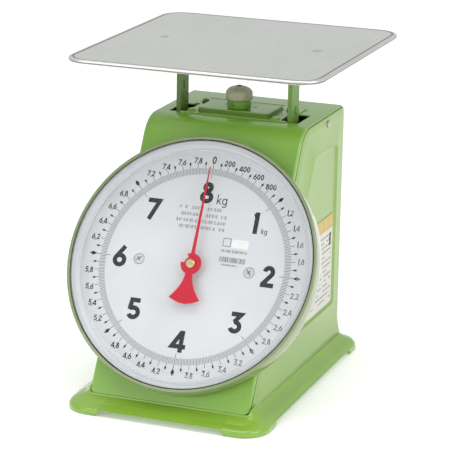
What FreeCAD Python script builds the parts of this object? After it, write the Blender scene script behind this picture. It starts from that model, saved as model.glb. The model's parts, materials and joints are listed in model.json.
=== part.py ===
import FreeCAD, Part
import math
import os
import Sketcher
from types import SimpleNamespace

# A mechanical dial platform scale: a steel case with a sloping face carries a large round dial,
# and a square pan rides on two posts that hang from a pair of coil springs inside the case.
# +X is the right-hand side, -Y the dial side, +Z up. The floor is z = 0.

Vector = FreeCAD.Vector
Placement = FreeCAD.Placement
Rotation = FreeCAD.Rotation

# ---------------------------------------------------------------- driving dimensions (mm, degrees)

DIMENSIONS = {
    # weighing pan
    "overall_depth": 295.6, "pan_width": 230.0, "pan_depth": 245.0, "pan_top": 298.0,
    "pan_lip": 3.4, "pan_gauge": 1.2, "pan_corner": 22.0, "pan_screw_x": 72.0,
    # case
    "case_width": 146.0, "case_depth": 239.0, "case_height": 220.0, "case_lift": 14.0,
    "face_tilt": 29.2, "front_bend": 28.0, "back_bend": 8.0, "edge_bend": 2.0,
    "sheet_gauge": 1.0, "side_flange": 16.0, "cover_inset": 5.5, "recess_depth": 1.5,
    # base
    "base_width": 184.0, "base_overhang": 20.0, "base_gauge": 1.4, "base_corner": 24.0,
    "skirt_clear": 6.0, "foot_clear": 0.8, "foot_length": 34.0, "deck_margin": 2.0,
    "rubber_radius": 8.0,
    # dial, measured outwards from the sloping face
    "dial_rise": 105.5, "dial_radius": 108.0, "dial_screw_x": 51.0, "dial_out": 3.95, "dial_gauge": 0.8,
    "bezel_radius": 113.4, "bezel_out": 15.5, "cover_radius": 110.0, "cover_out": 19.2,
    "pointer_out": 11.0, "pointer_reach": 87.3, "pointer_tail": 35.5, "pointer_gauge": 0.6,
    # movement
    "gear_module": 0.5, "pinion_teeth": 14.0, "gear_backlash": 0.12, "spindle_radius": 1.5,
    "running_gap": 0.05, "pinion_depth": 36.0, "pinion_width": 8.0, "frame_depth": 48.0,
    # weighing carrier
    "post_x": 50.5, "post_gauge": 4.0, "post_front": 18.5, "post_depth": 19.0, "post_foot": 72.0,
    "spring_y": 32.2, "spring_x": 24.0, "spring_radius": 8.0, "wire_radius": 1.0,
    "spring_turns": 24.0, "spring_low": 131.0, "spring_high": 191.0, "spring_bar_z": 121.0,
    # parallel links
    "link_length": 62.0, "upper_pivot_z": 172.0, "lower_pivot_z": 84.0, "link_pin_radius": 2.0,
    # zero adjuster
    "bridge_rise": 5.0, "guide_x": 10.0, "knob_radius": 12.2, "knob_height": 20.3, "collar_radius": 10.7,
    "zero_screw_radius": 3.0, "hanger_z": 200.0,
}

doc = FreeCAD.newDocument("dial_scale")


class Size:
    """A number together with the spreadsheet expression that gives it."""

    def __init__(self, value, text):
        self.value = value
        self.text = text

    @staticmethod
    def of(item):
        return item if isinstance(item, Size) else Size(float(item), repr(float(item)))

    def __add__(self, other):
        other = Size.of(other)
        return Size(self.value + other.value, f"({self.text} + {other.text})")

    def __sub__(self, other):
        other = Size.of(other)
        return Size(self.value - other.value, f"({self.text} - {other.text})")

    def __mul__(self, other):
        other = Size.of(other)
        return Size(self.value * other.value, f"({self.text} * {other.text})")

    def __truediv__(self, other):
        other = Size.of(other)
        return Size(self.value / other.value, f"({self.text} / {other.text})")

    def __radd__(self, other):
        return Size.of(other) + self

    def __rsub__(self, other):
        return Size.of(other) - self

    def __rmul__(self, other):
        return Size.of(other) * self

    def __rtruediv__(self, other):
        return Size.of(other) / self

    def __neg__(self):
        return Size(-self.value, f"(-1 * {self.text})")


def number(item):
    return item.value if isinstance(item, Size) else float(item)


def bind(target, name, item):
    """Sets a property, and ties it to the sheet when the value comes from there."""
    if isinstance(item, Size):
        target.setExpression(name, item.text)


def sine(angle):
    return Size(math.sin(math.radians(angle.value)), f"sin({angle.text})")


def cosine(angle):
    return Size(math.cos(math.radians(angle.value)), f"cos({angle.text})")


def write_sheet():
    sheet = doc.addObject("Spreadsheet::Sheet", "Dims")
    sizes = SimpleNamespace()
    for row, (alias, value) in enumerate(DIMENSIONS.items(), start=1):
        sheet.set(f"A{row}", alias)
        sheet.set(f"B{row}", str(value))
        sheet.setAlias(f"B{row}", alias)
        setattr(sizes, alias, Size(value, f"Dims.{alias}"))
    doc.recompute()
    return sizes


S = write_sheet()

# ---------------------------------------------------------------- places worked out from them

TILT_SIN = sine(S.face_tilt)
TILT_COS = cosine(S.face_tilt)
FRONT_Y = S.base_overhang - S.overall_depth / 2
BACK_Y = FRONT_Y + S.case_depth
TOP_Z = S.case_lift + S.case_height
FACE_TOP_Y = FRONT_Y + S.case_height * TILT_SIN / TILT_COS
PAN_Y = (S.overall_depth - S.pan_depth) / 2
DIAL_Y = FRONT_Y + S.dial_rise * TILT_SIN / TILT_COS
DIAL_Z = S.case_lift + S.dial_rise
PINION_RADIUS = S.gear_module * S.pinion_teeth / 2
TRAVEL = 2 * math.pi * PINION_RADIUS / TILT_COS
LINK_RISE = TRAVEL / 2
PAN_SCREW_Y = S.post_front + 12.5
REAR_PIVOT_Y = S.spring_y + S.link_length
DIAL_TURN = Rotation(Vector(1, 0, 0), 90 - S.face_tilt.value)
ALONG_X = Rotation(Vector(0, 1, 0), 90)
UPSIDE_DOWN = Rotation(Vector(1, 0, 0), 180)
UPRIGHT = Rotation()

NODES = []


def on_dial(x=0.0, up=0.0, out=0.0):
    """A place given by distances across, up and outwards from the dial's centre on the face."""
    return (x, DIAL_Y + up * TILT_SIN - out * TILT_COS, DIAL_Z + up * TILT_COS + out * TILT_SIN)


def place(item, position, rotation=UPRIGHT):
    item.Placement = Placement(Vector(*[number(value) for value in position]), rotation)
    for axis, value in zip("xyz", position):
        bind(item, f"Placement.Base.{axis}", value)


def node(item, label):
    """Marks an object as one piece of the scale and names it."""
    item.Label = label
    if item.Label != label:
        raise RuntimeError("another object is already called " + label)
    NODES.append(item)
    return item


# ---------------------------------------------------------------- sketch and feature helpers


def new_body(label):
    return doc.addObject("PartDesign::Body", label)


def new_sketch(body, role):
    plane = next(item for item in body.Origin.OriginFeatures if item.Role == role)
    sketch = body.newObject("Sketcher::SketchObject", body.Name + "_sketch")
    sketch.AttachmentSupport = [(plane, "")]
    sketch.MapMode = "FlatFace"
    return sketch


def fix(sketch, kind, arguments, item):
    """Adds a dimension to a sketch, tied to the sheet when it comes from there."""
    index = sketch.addConstraint(Sketcher.Constraint(kind, *arguments, number(item)))
    bind(sketch, f"Constraints[{index}]", item)


def draw_polygon(sketch, points):
    first = sketch.GeometryCount
    corners = [Vector(number(x), number(y), 0) for x, y in points]
    count = len(corners)
    for index in range(count):
        sketch.addGeometry(Part.LineSegment(corners[index], corners[(index + 1) % count]))
    for index in range(count):
        after = first + (index + 1) % count
        sketch.addConstraint(Sketcher.Constraint("Coincident", first + index, 2, after, 1))
    for index, (x, y) in enumerate(points):
        fix(sketch, "DistanceX", (-1, 1, first + index, 1), x)
        fix(sketch, "DistanceY", (-1, 1, first + index, 1), y)


def draw_circle(sketch, x, y, radius):
    centre = Vector(number(x), number(y), 0)
    index = sketch.addGeometry(Part.Circle(centre, Vector(0, 0, 1), number(radius)))
    fix(sketch, "Radius", (index,), radius)
    fix(sketch, "DistanceX", (-1, 1, index, 3), x)
    fix(sketch, "DistanceY", (-1, 1, index, 3), y)


def rectangle(x0, x1, y0, y1):
    return [(x0, y0), (x1, y0), (x1, y1), (x0, y1)]


def drawn(body, role, polygons=(), circles=(), offset=None):
    sketch = new_sketch(body, role)
    for points in polygons:
        draw_polygon(sketch, points)
    for circle in circles:
        draw_circle(sketch, *circle)
    if offset is not None:
        sketch.AttachmentOffset = Placement(Vector(0, 0, number(offset)), UPRIGHT)
        bind(sketch, "AttachmentOffset.Base.z", offset)
    return sketch


def pad(body, length, role="XY_Plane", polygons=(), circles=(), offset=None, symmetric=False):
    sketch = drawn(body, role, polygons, circles, offset)
    feature = body.newObject("PartDesign::Pad", body.Name + "_pad")
    feature.Profile = sketch
    feature.SideType = "Symmetric" if symmetric else "One side"
    feature.Length = number(length)
    bind(feature, "Length", length)
    return feature


def pocket(body, length, role="XY_Plane", polygons=(), circles=(), offset=None, reversed_cut=False):
    """Cuts a drawn shape out of the body, or right through it both ways when length is None."""
    before = solid_volume(body)
    sketch = drawn(body, role, polygons, circles, offset)
    feature = body.newObject("PartDesign::Pocket", body.Name + "_pocket")
    feature.Profile = sketch
    if length is None:
        feature.SideType = "Symmetric"
        feature.Length = 4 * number(S.overall_depth)
    else:
        feature.Length = number(length)
        feature.Reversed = reversed_cut
        bind(feature, "Length", length)
    if solid_volume(body) > before - 1e-3:
        raise RuntimeError("the cut in " + body.Name + " removes nothing")
    return feature


def solid_volume(body):
    doc.recompute()
    return body.Shape.Volume


def round_edges(body, radius, test):
    """Fillets the edges of the body's current solid whose shape passes the test."""
    doc.recompute()
    tip = body.Tip
    names = [f"Edge{i}" for i, edge in enumerate(tip.Shape.Edges, start=1) if test(edge)]
    feature = body.newObject("PartDesign::Fillet", body.Name + "_fillet")
    feature.Base = (tip, names)
    feature.Radius = number(radius)
    bind(feature, "Radius", radius)
    return feature


def is_upright(edge):
    ends = [vertex.Point for vertex in edge.Vertexes]
    return len(ends) == 2 and (ends[0] - ends[1]).Length > 0.5 and \
        abs(abs((ends[0] - ends[1]).normalize().z) - 1) < 1e-6


def turned_body(label, profile):
    """A body of revolution about its own Z axis; the profile is a list of (radius, height)."""
    body = new_body(label)
    sketch = drawn(body, "XZ_Plane", [profile])
    feature = body.newObject("PartDesign::Revolution", body.Name + "_turn")
    feature.Profile = sketch
    feature.ReferenceAxis = (sketch, ["V_Axis"])
    feature.Angle = 360
    return body


def turned(label, profile, position, rotation=UPRIGHT):
    body = turned_body(label, profile)
    place(body, position, rotation)
    return node(body, label)


def group(label, pieces):
    """Several identical pieces that share one node."""
    bundle = doc.addObject("Part::Compound", label)
    bundle.Links = pieces
    return node(bundle, label)


def turned_group(label, profile, positions, rotation=UPRIGHT):
    pieces = []
    for index, position in enumerate(positions):
        piece = turned_body(f"{label}_{index + 1}", profile)
        place(piece, position, rotation)
        pieces.append(piece)
    return group(label, pieces)


def side_facing_group(label, profile, reach, y, z):
    """One piece on each side of the scale, each pointing outwards."""
    pieces = []
    for side in (-1, 1):
        piece = turned_body(f"{label}_{side + 2}", profile)
        place(piece, (side * reach, y, z), Rotation(Vector(0, 1, 0), 90 * side))
        pieces.append(piece)
    return group(label, pieces)


def screw_profile(head_radius, head_height, shank_radius, shank_length):
    """Head above its seat at height 0, shank below it; the head's rim is chamfered."""
    rim = head_height * 0.45
    crown = head_radius * 0.6
    return [(0, -shank_length), (shank_radius, -shank_length), (shank_radius, 0),
            (head_radius, 0), (head_radius, rim), (crown, head_height), (0, head_height)]


def ring_profile(inner, outer, low, high):
    return [(inner, low), (outer, low), (outer, high), (inner, high)]


# ---------------------------------------------------------------- base


def rounded_wire(width, front, back, corner, height):
    """A closed rectangle with round corners, symmetric in X, lying at one height."""
    half = width / 2
    face = Part.Face(Part.makePolygon([Vector(-half, front, height), Vector(half, front, height),
                                       Vector(half, back, height), Vector(-half, back, height),
                                       Vector(-half, front, height)]))
    block = face.extrude(Vector(0, 0, 1))
    block = block.makeFillet(corner, [edge for edge in block.Edges if is_upright(edge)])
    return next(f for f in block.Faces if abs(f.CenterOfMass.z - height) < 1e-6).OuterWire


def flared_solid(inset, top_drop):
    """The base's flare, drawn in by the inset and lowered at the deck by the drop."""
    low = S.foot_clear.value
    high = S.case_lift.value - top_drop
    front = FRONT_Y.value - S.base_overhang.value
    back = BACK_Y.value + S.base_overhang.value
    margin = S.deck_margin.value
    foot = rounded_wire(S.base_width.value - 2 * inset, front + inset, back - inset,
                        S.base_corner.value - inset, low)
    knee = rounded_wire(S.base_width.value - 2 * inset, front + inset, back - inset,
                        S.base_corner.value - inset, low + 4)
    deck = rounded_wire(S.case_width.value + 2 * margin - 2 * inset, FRONT_Y.value - margin + inset,
                        BACK_Y.value + margin - inset, 5, high)
    band = Part.makeLoft([foot, knee], True)
    return band.fuse(Part.makeLoft([knee, deck], True)).removeSplitter()


def make_base():
    gauge = S.base_gauge.value
    outer = flared_solid(0, 0)
    shell = outer.cut(flared_solid(gauge, gauge))
    half = S.base_width.value / 2
    front = FRONT_Y.value - S.base_overhang.value
    back = BACK_Y.value + S.base_overhang.value
    foot = S.foot_length.value
    rise = S.skirt_clear.value
    corners = [(x, y) for x in (-half, half - foot) for y in (front, back - foot)]
    for x, y in corners:
        shelf = Part.makeBox(foot, foot, gauge, Vector(x, y, rise)).common(outer)
        shell = shell.fuse(shelf)
    long_gap = Part.makeBox(2 * half - 2 * foot, back - front + 2, rise, Vector(foot - half, front - 1, 0))
    wide_gap = Part.makeBox(2 * half + 2, back - front - 2 * foot, rise, Vector(-half - 1, front + foot, 0))
    shell = shell.cut(long_gap).cut(wide_gap)
    for x, y in fixing_places():
        hole = Part.makeCylinder(2.2, 2 * gauge, Vector(x, y, S.case_lift.value - 1.5 * gauge))
        shell = shell.cut(hole)
    under_deck = S.case_lift.value - 1.5 * gauge
    stop_hole = Part.makeCylinder(2.6, 2 * gauge, Vector(0, S.spring_y.value, under_deck))
    base = doc.addObject("Part::Feature", "base")
    base.Shape = shell.cut(stop_hole).removeSplitter()
    return node(base, "base")


def fixing_places():
    """Where the four screws join the base's deck to the case's bottom flanges."""
    return [(x, y) for x in (-48.0, 48.0) for y in (FRONT_Y.value + 8.0, BACK_Y.value - 7.0)]


def make_base_fixings():
    inset = S.foot_length / 2
    foot_y = (FRONT_Y - S.base_overhang + inset, BACK_Y + S.base_overhang - inset)
    foot_x = S.base_width / 2 - inset
    places = [(x, y, 0.0) for x in (-foot_x, foot_x) for y in foot_y]
    radius = S.rubber_radius
    profile = [(0, 0), (radius - 0.8, 0), (radius, 0.8), (radius, 3), (radius - 1, S.skirt_clear),
               (0, S.skirt_clear)]
    turned_group("rubber_feet", profile, places)
    seat = S.case_lift - S.base_gauge
    screws = [(x, y, seat) for x, y in fixing_places()]
    turned_group("base_screws", screw_profile(4.0, 2.2, 2.1, 6.0), screws, UPSIDE_DOWN)


# ---------------------------------------------------------------- case


def case_outline():
    return [(FRONT_Y, S.case_lift), (FACE_TOP_Y, TOP_Z), (BACK_Y, TOP_Z), (BACK_Y, S.case_lift)]


def inset_outline(inset, back_inset, low_inset):
    """The case's side outline drawn in from its front, top, back and bottom edges."""
    run = TILT_SIN / TILT_COS
    low = S.case_lift + low_inset
    high = TOP_Z - inset
    front_low = FRONT_Y + inset / TILT_COS + low_inset * run
    front_high = FRONT_Y + inset / TILT_COS + (S.case_height - inset) * run
    back = BACK_Y - back_inset
    return [(front_low, low), (front_high, high), (back, high), (back, low)]


def is_case_corner(y, z):
    """Tests for the long edge across the case that passes through a point of its side outline."""
    def test(edge):
        box = edge.BoundBox
        offset = math.hypot(box.Center.y - number(y), box.Center.z - number(z))
        return box.XLength > 50 and offset < 0.1
    return test


def is_side_rim(edge):
    """Tests for the edges that run round the case's two side faces, apart from the bottom."""
    box = edge.BoundBox
    at_side = abs(abs(box.Center.x) - S.case_width.value / 2) < 1e-3 and box.XLength < 1e-3
    return at_side and box.ZMax > S.case_lift.value + 1


def make_case_shell():
    body = new_body("case_blank")
    pad(body, S.case_width, "YZ_Plane", [case_outline()], symmetric=True)
    round_edges(body, S.front_bend, is_case_corner(FACE_TOP_Y, TOP_Z))
    round_edges(body, S.back_bend, is_case_corner(BACK_Y, TOP_Z))
    round_edges(body, S.edge_bend, is_side_rim)
    doc.recompute()
    tip = body.Tip
    floor = [f"Face{i}" for i, face in enumerate(tip.Shape.Faces, start=1)
             if abs(face.BoundBox.ZMax - S.case_lift.value) < 1e-3]
    hollow = body.newObject("PartDesign::Thickness", "case_hollow")
    hollow.Base = (tip, floor)
    hollow.Value = S.sheet_gauge.value
    bind(hollow, "Value", S.sheet_gauge)
    hollow.Reversed = True
    pocket(body, None, "YZ_Plane", [inset_outline(S.side_flange, 6.0, -2.0)])
    strip = 14.0
    half = S.case_width / 2 - S.sheet_gauge
    strips = [rectangle(-half, half, FRONT_Y + 0.7, FRONT_Y + strip),
              rectangle(-half, half, BACK_Y - strip, BACK_Y - 0.5)]
    pad(body, S.sheet_gauge, "XY_Plane", strips, offset=S.case_lift)
    fixings = [(x, y, 2.2) for x, y in fixing_places()]
    pocket(body, S.sheet_gauge * 2, "XY_Plane", (), fixings, S.case_lift - 0.5, True)
    pocket(body, 4 * S.sheet_gauge, "XY_Plane", top_slots(), top_holes(), TOP_Z + 1)
    pocket(body, None, "YZ_Plane", (), [side_screw_hole()])
    place(body, (0, 0, 0))
    return node(drill_face(body), "case_shell")


def top_slots():
    """The two slots in the case's top that the posts pass through."""
    low_y = S.post_front - 1.0
    high_y = S.post_front + S.post_depth + 14.0
    inner = S.post_x - 6.5
    outer = S.post_x + S.post_gauge + 6.5
    return [rectangle(-outer, -inner, low_y, high_y), rectangle(inner, outer, low_y, high_y)]


def top_holes():
    return [(0, S.spring_y, 5.0), (-S.guide_x, S.spring_y, 2.3), (S.guide_x, S.spring_y, 2.3)]


def drill_face(body):
    """Cuts the spindle's opening and the dial screws' holes square to the sloping face."""
    tools = []
    screw = S.dial_screw_x
    for name, x, radius in (("spindle_hole", 0, 9.0), ("left_hole", -screw, 1.8), ("right_hole", screw, 1.8)):
        tool = doc.addObject("Part::Cylinder", name)
        tool.Radius = radius
        tool.Height = 6
        place(tool, on_dial(x, 0, -3.0), DIAL_TURN)
        tools.append(tool)
    drills = doc.addObject("Part::MultiFuse", "face_drills")
    drills.Shapes = tools
    cut = doc.addObject("Part::Cut", "case_shell")
    cut.Base = body
    cut.Tool = drills
    return cut


def side_screw_hole():
    return (FRONT_Y + 190.0, TOP_Z - 8.5, 1.45)


def recess_outline(margin):
    """The pressed panel in a side cover: its front edge runs parallel to the sloping face."""
    run = TILT_SIN / TILT_COS
    low = S.case_lift + 35.0 + margin
    high = S.case_lift + 187.0 - margin
    start = FRONT_Y + 53.0
    front_low = start + (35.0 + margin) * run + margin / TILT_COS
    front_high = start + (187.0 - margin) * run + margin / TILT_COS
    back = BACK_Y - 18.0 - margin
    return [(front_low, low), (front_high, high), (back, high), (back, low)]


def make_side_cover(label, side):
    outside = S.case_width / 2
    body = new_body(label)
    tray = S.recess_depth + S.sheet_gauge
    sheet = S.sheet_gauge
    if side > 0:
        pad(body, sheet, "YZ_Plane", [inset_outline(S.cover_inset, 1.0, 0.3)], offset=outside)
        pad(body, tray, "YZ_Plane", [recess_outline(0.0)], offset=outside + sheet - tray)
        pocket(body, S.recess_depth, "YZ_Plane", [recess_outline(S.sheet_gauge)], (), outside + sheet)
    else:
        pad(body, sheet, "YZ_Plane", [inset_outline(S.cover_inset, 1.0, 0.3)], offset=-outside - sheet)
        pad(body, tray, "YZ_Plane", [recess_outline(0.0)], offset=-outside - sheet)
        pocket(body, S.recess_depth, "YZ_Plane", [recess_outline(S.sheet_gauge)], (), -outside - sheet, True)
    pocket(body, None, "YZ_Plane", (), [side_screw_hole()])
    place(body, (0, 0, 0))
    return node(body, label)


def make_case_trim():
    outside = S.case_width / 2 + S.sheet_gauge
    y, z, _ = side_screw_hole()
    side_facing_group("side_screws", screw_profile(3.2, 1.8, 1.4, 2.5), outside, y, z)
    label_plate = new_body("rating_label")
    floor = S.case_width / 2 + S.sheet_gauge - S.recess_depth
    back = BACK_Y - 21.5
    outline = rectangle(back - 92.0, back, S.case_lift + 38.0, S.case_lift + 123.0)
    pad(label_plate, 0.3, "YZ_Plane", [outline], offset=floor)
    place(label_plate, (0, 0, 0))
    node(label_plate, "rating_label")


# ---------------------------------------------------------------- dial


def make_dial():
    front = S.dial_out
    back = S.dial_out - S.dial_gauge
    wall = S.cover_radius + 1.4
    dish = [(9.0, 0.1), (wall, 0.1), (wall, 9.0), (wall - 1.0, 9.0), (wall - 1.0, 1.1), (104.0, 1.1),
            (104.0, back), (96.0, back), (96.0, 1.1), (56.0, 1.1), (56.0, back), (46.0, back), (46.0, 1.1),
            (9.0, 1.1)]
    case = turned_body("dial_case", dish)
    screws = (-S.dial_screw_x, S.dial_screw_x)
    drill = [(x, 0.0, 1.8) for x in screws]
    pocket(case, None, "XY_Plane", (), drill)
    place(case, on_dial(), DIAL_TURN)
    node(case, "dial_case")
    plate = new_body("dial_plate")
    pad(plate, S.dial_gauge, "XY_Plane", (), [(0, 0, S.dial_radius), (0, 0, 5.0)] + drill)
    place(plate, on_dial(0, 0, back), DIAL_TURN)
    node(plate, "dial_plate")
    turned_group("dial_screws", screw_profile(4.4, 1.5, 1.7, 7.5),
                 [on_dial(x, 0, front) for x in screws], DIAL_TURN)
    rim = S.cover_radius
    high = S.cover_out
    turned("dial_cover", [(rim - 1.6, 9.1), (rim + 1.9, 9.1), (rim + 1.9, 13.3), (rim, 13.3), (rim, 14.6),
                          (rim - 1.1, 16.2), (rim - 3.6, 17.5), (rim - 9.0, high - 0.9), (60.0, high - 0.2),
                          (0, high), (0, high - 1.5), (60.0, high - 1.7), (rim - 9.4, high - 2.4),
                          (rim - 4.2, 16.0), (rim - 2.0, 14.6), (rim - 1.6, 13.3)], on_dial(), DIAL_TURN)
    edge = S.bezel_radius
    lip = S.bezel_out
    turned("bezel_ring", [(edge - 1.0, 0.4), (edge, 0.4), (edge, lip - 1.2), (edge - 0.7, lip),
                          (edge - 2.1, lip), (edge - 2.8, lip - 0.8), (edge - 2.8, lip - 2.1),
                          (edge - 1.0, lip - 2.1)], on_dial(), DIAL_TURN)


def pointer_outline():
    """Half of the pointer on each side of its centre line: needle, neck and bell-shaped tail."""
    reach = S.pointer_reach.value
    tail = S.pointer_tail.value
    side = [(0.35, reach), (0.75, reach * 0.8), (1.55, 9.0)]
    bell = [(3.3, -8.6), (4.0, -12.5), (5.9, -18.0), (9.2, -23.8), (14.2, -31.4)]
    sag = [(8.0, -33.9), (0.0, -tail)]
    return side, bell, sag


def make_pointer():
    side, bell, sag = pointer_outline()
    gauge = S.pointer_gauge.value
    right = side + bell + sag
    outline = right + [(-x, y) for x, y in reversed(right[:-1])]
    points = [Vector(x, y, 0) for x, y in outline]
    blade = Part.Face(Part.makePolygon(points + [points[0]])).extrude(Vector(0, 0, gauge))
    boss = Part.makeCylinder(9.4, gauge)
    gap_turn = 128.0
    gap = Part.makeBox(12, 5.6, gauge, Vector(0, -2.8, 0))
    gap.rotate(Vector(0, 0, 0), Vector(0, 0, 1), gap_turn)
    shape = blade.fuse(boss).cut(Part.makeCylinder(4.2, gauge)).cut(gap)
    feature = doc.addObject("Part::Feature", "pointer")
    feature.Shape = shape.removeSplitter()
    place(feature, on_dial(0, 0, S.pointer_out), DIAL_TURN)
    node(feature, "pointer")


def make_spindle():
    radius = S.spindle_radius
    turned("spindle", [(0, -S.frame_depth - 2.0), (radius, -S.frame_depth - 2.0), (radius, 14.0), (0, 14.0)],
           on_dial(), DIAL_TURN)
    low = S.pointer_out - 2.4
    turned("pointer_hub", [(radius, low), (6.4, low), (6.4, S.pointer_out), (4.1, S.pointer_out),
                           (4.1, S.pointer_out + 0.8), (radius, S.pointer_out + 0.8)], on_dial(), DIAL_TURN)
    nut_low = S.pointer_out + 0.8
    nut = turned_body("hub_nut", [(radius, nut_low), (3.9, nut_low), (3.9, nut_low + 1.6),
                                  (3.0, nut_low + 2.4), (radius, nut_low + 2.4)])
    pocket(nut, 0.9, "XY_Plane", [rectangle(-5.0, 5.0, -0.5, 0.5)], (), nut_low + 2.5)
    place(nut, on_dial(), DIAL_TURN)
    node(nut, "hub_nut")


# ---------------------------------------------------------------- movement


def involute_flank(base_radius, tip_radius, steps):
    """Points of an involute from its base circle to the tip, as (radius, angle)."""
    points = []
    for step in range(steps + 1):
        radius = base_radius + (tip_radius - base_radius) * step / steps
        roll = math.sqrt(max((radius / base_radius) ** 2 - 1, 0))
        points.append((radius, roll - math.atan(roll)))
    return points


def make_pinion():
    pressure = math.radians(20)
    teeth = int(S.pinion_teeth.value)
    module = S.gear_module.value
    pitch_radius = PINION_RADIUS.value
    base_radius = pitch_radius * math.cos(pressure)
    tip = pitch_radius + 0.9 * module
    root = pitch_radius - 1.3 * module
    half_tooth = math.pi / (2 * teeth) - S.gear_backlash.value / (2 * pitch_radius)
    at_pitch = math.tan(pressure) - pressure
    flank = [(r, half_tooth + at_pitch - a) for r, a in involute_flank(base_radius, tip, 6)]
    points = []
    for tooth in range(teeth):
        middle = 2 * math.pi * tooth / teeth
        left = [(root, flank[0][1])] + flank
        arc = [(r, middle - a) for r, a in left] + [(r, middle + a) for r, a in reversed(left)]
        points += [Vector(r * math.cos(a), r * math.sin(a), 0) for r, a in arc]
    face = Part.Face(Part.makePolygon(points + [points[0]]))
    gear = face.extrude(Vector(0, 0, S.pinion_width.value))
    bore = Part.makeCylinder(S.spindle_radius.value, S.pinion_width.value)
    feature = doc.addObject("Part::Feature", "pinion")
    feature.Shape = gear.cut(bore)
    place(feature, on_dial(0, 0, -S.pinion_depth - S.pinion_width / 2), DIAL_TURN)
    node(feature, "pinion")


def rack_place():
    """Where the rack's pitch line meets the pinion."""
    x, y, z = on_dial(PINION_RADIUS, 0, -S.pinion_depth)
    return x.value, y.value, z.value


def make_rack():
    """A bar that moves straight down, with teeth cut along the tilted spindle's direction."""
    x, y, z = rack_place()
    module = S.gear_module.value
    pitch = math.pi * module
    slope = math.tan(math.radians(20))
    half_gap = pitch / 4 + S.gear_backlash.value / 2
    low, high = -7.0, TRAVEL.value + 7.0
    bar = Part.makeBox(6.5, 3.0, high - low + 13.0, Vector(x - 0.9 * module, y - 1.5, z + low))
    reach = 0.95 * module
    depth = 1.3 * module
    gaps = []
    # a pinion tooth points along +X at rest, so a gap sits at the pitch line's middle
    for index in range(-6, int((high * TILT_COS.value) / pitch) + 2):
        centre = index * pitch
        points = [Vector(-reach - 0.2, centre - half_gap - slope * (reach + 0.2), -12),
                  Vector(depth, centre - half_gap + slope * depth, -12),
                  Vector(depth, centre + half_gap - slope * depth, -12),
                  Vector(-reach - 0.2, centre + half_gap + slope * (reach + 0.2), -12)]
        tool = Part.Face(Part.makePolygon(points + [points[0]])).extrude(Vector(0, 0, 40))
        gaps.append(tool)
    cutters = Part.makeCompound(gaps)
    cutters.Placement = Placement(Vector(x, y, z), DIAL_TURN)
    toothed = bar.cut(cutters)
    feature = doc.addObject("Part::Feature", "rack")
    feature.Shape = toothed
    node(feature, "rack")


def make_movement_frame():
    """A bent strap behind the face whose two plates carry the spindle's bearings."""
    gauge = 1.5
    front = -1.0 * (S.sheet_gauge + gauge)
    deep = -S.frame_depth
    half = 30.0
    body = new_body("movement_frame")
    outline = [(-half, front), (-half, deep), (half, deep), (half, front), (half - gauge, front),
               (half - gauge, deep + gauge), (gauge - half, deep + gauge), (gauge - half, front)]
    pad(body, 17.0, "XZ_Plane", [outline], offset=-9.0)
    pad(body, gauge, "XY_Plane", [rectangle(-42.0, 42.0, -14.0, 14.0)], (), front)
    screws = [(x, y, 1.9) for x in (-37.0, 37.0) for y in (-9.0, 9.0)]
    pocket(body, None, "XY_Plane", (), [(0, 0, 4.0)] + screws)
    place(body, on_dial(), DIAL_TURN)
    node(body, "movement_frame")
    turned_group("movement_screws", screw_profile(3.2, 2.0, 1.8, gauge),
                 [on_dial(x, y, front) for x in (-37.0, 37.0) for y in (-9.0, 9.0)],
                 DIAL_TURN.multiply(UPSIDE_DOWN))
    bore = S.spindle_radius + S.running_gap
    turned("front_bearing", [(bore, front - 2.0), (6.0, front - 2.0), (6.0, front), (4.0, front),
                             (4.0, front + gauge), (bore, front + gauge)], on_dial(), DIAL_TURN)
    turned("rear_bearing", [(bore, deep), (4.0, deep), (4.0, deep + gauge), (6.0, deep + gauge),
                            (6.0, deep + gauge + 2.0), (bore, deep + gauge + 2.0)], on_dial(), DIAL_TURN)


# ---------------------------------------------------------------- weighing carrier


def make_post(label, side):
    """A steel strap with a tab bent outwards under the pan."""
    inner = S.post_x
    outer = S.post_x + S.post_gauge
    high = S.pan_top - S.pan_gauge
    low = S.post_foot
    tab = S.pan_screw_x + 10.0
    under = high - S.post_gauge + 1.0
    outline = [(inner, low), (outer, low), (outer, under), (tab, under), (tab, high), (inner, high)]
    body = new_body(label)
    outline = [(side * x, y) for x, y in outline]
    pad(body, S.post_depth, "XZ_Plane", [outline], offset=-S.post_front - S.post_depth)
    pins = [(S.spring_y, z, S.link_pin_radius) for z in (S.upper_pivot_z, S.lower_pivot_z)]
    screw = [(S.post_front + 11.0, TOP_Z + 9.0, 1.6)]
    pocket(body, None, "YZ_Plane", (), pins + screw)
    pocket(body, None, "XY_Plane", (), [(side * S.pan_screw_x, PAN_SCREW_Y, 1.8)])
    pocket(body, 1.3, "XY_Plane", (), [(side * S.pan_screw_x, PAN_SCREW_Y, 2.9)], high)
    if side < 0:
        centre = S.post_front + 8.0
        pocket(body, None, "YZ_Plane", [rectangle(centre - 1.6, centre + 1.6, TOP_Z + 19.0, TOP_Z + 27.0)])
    place(body, (0, 0, 0))
    node(body, label)


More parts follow.
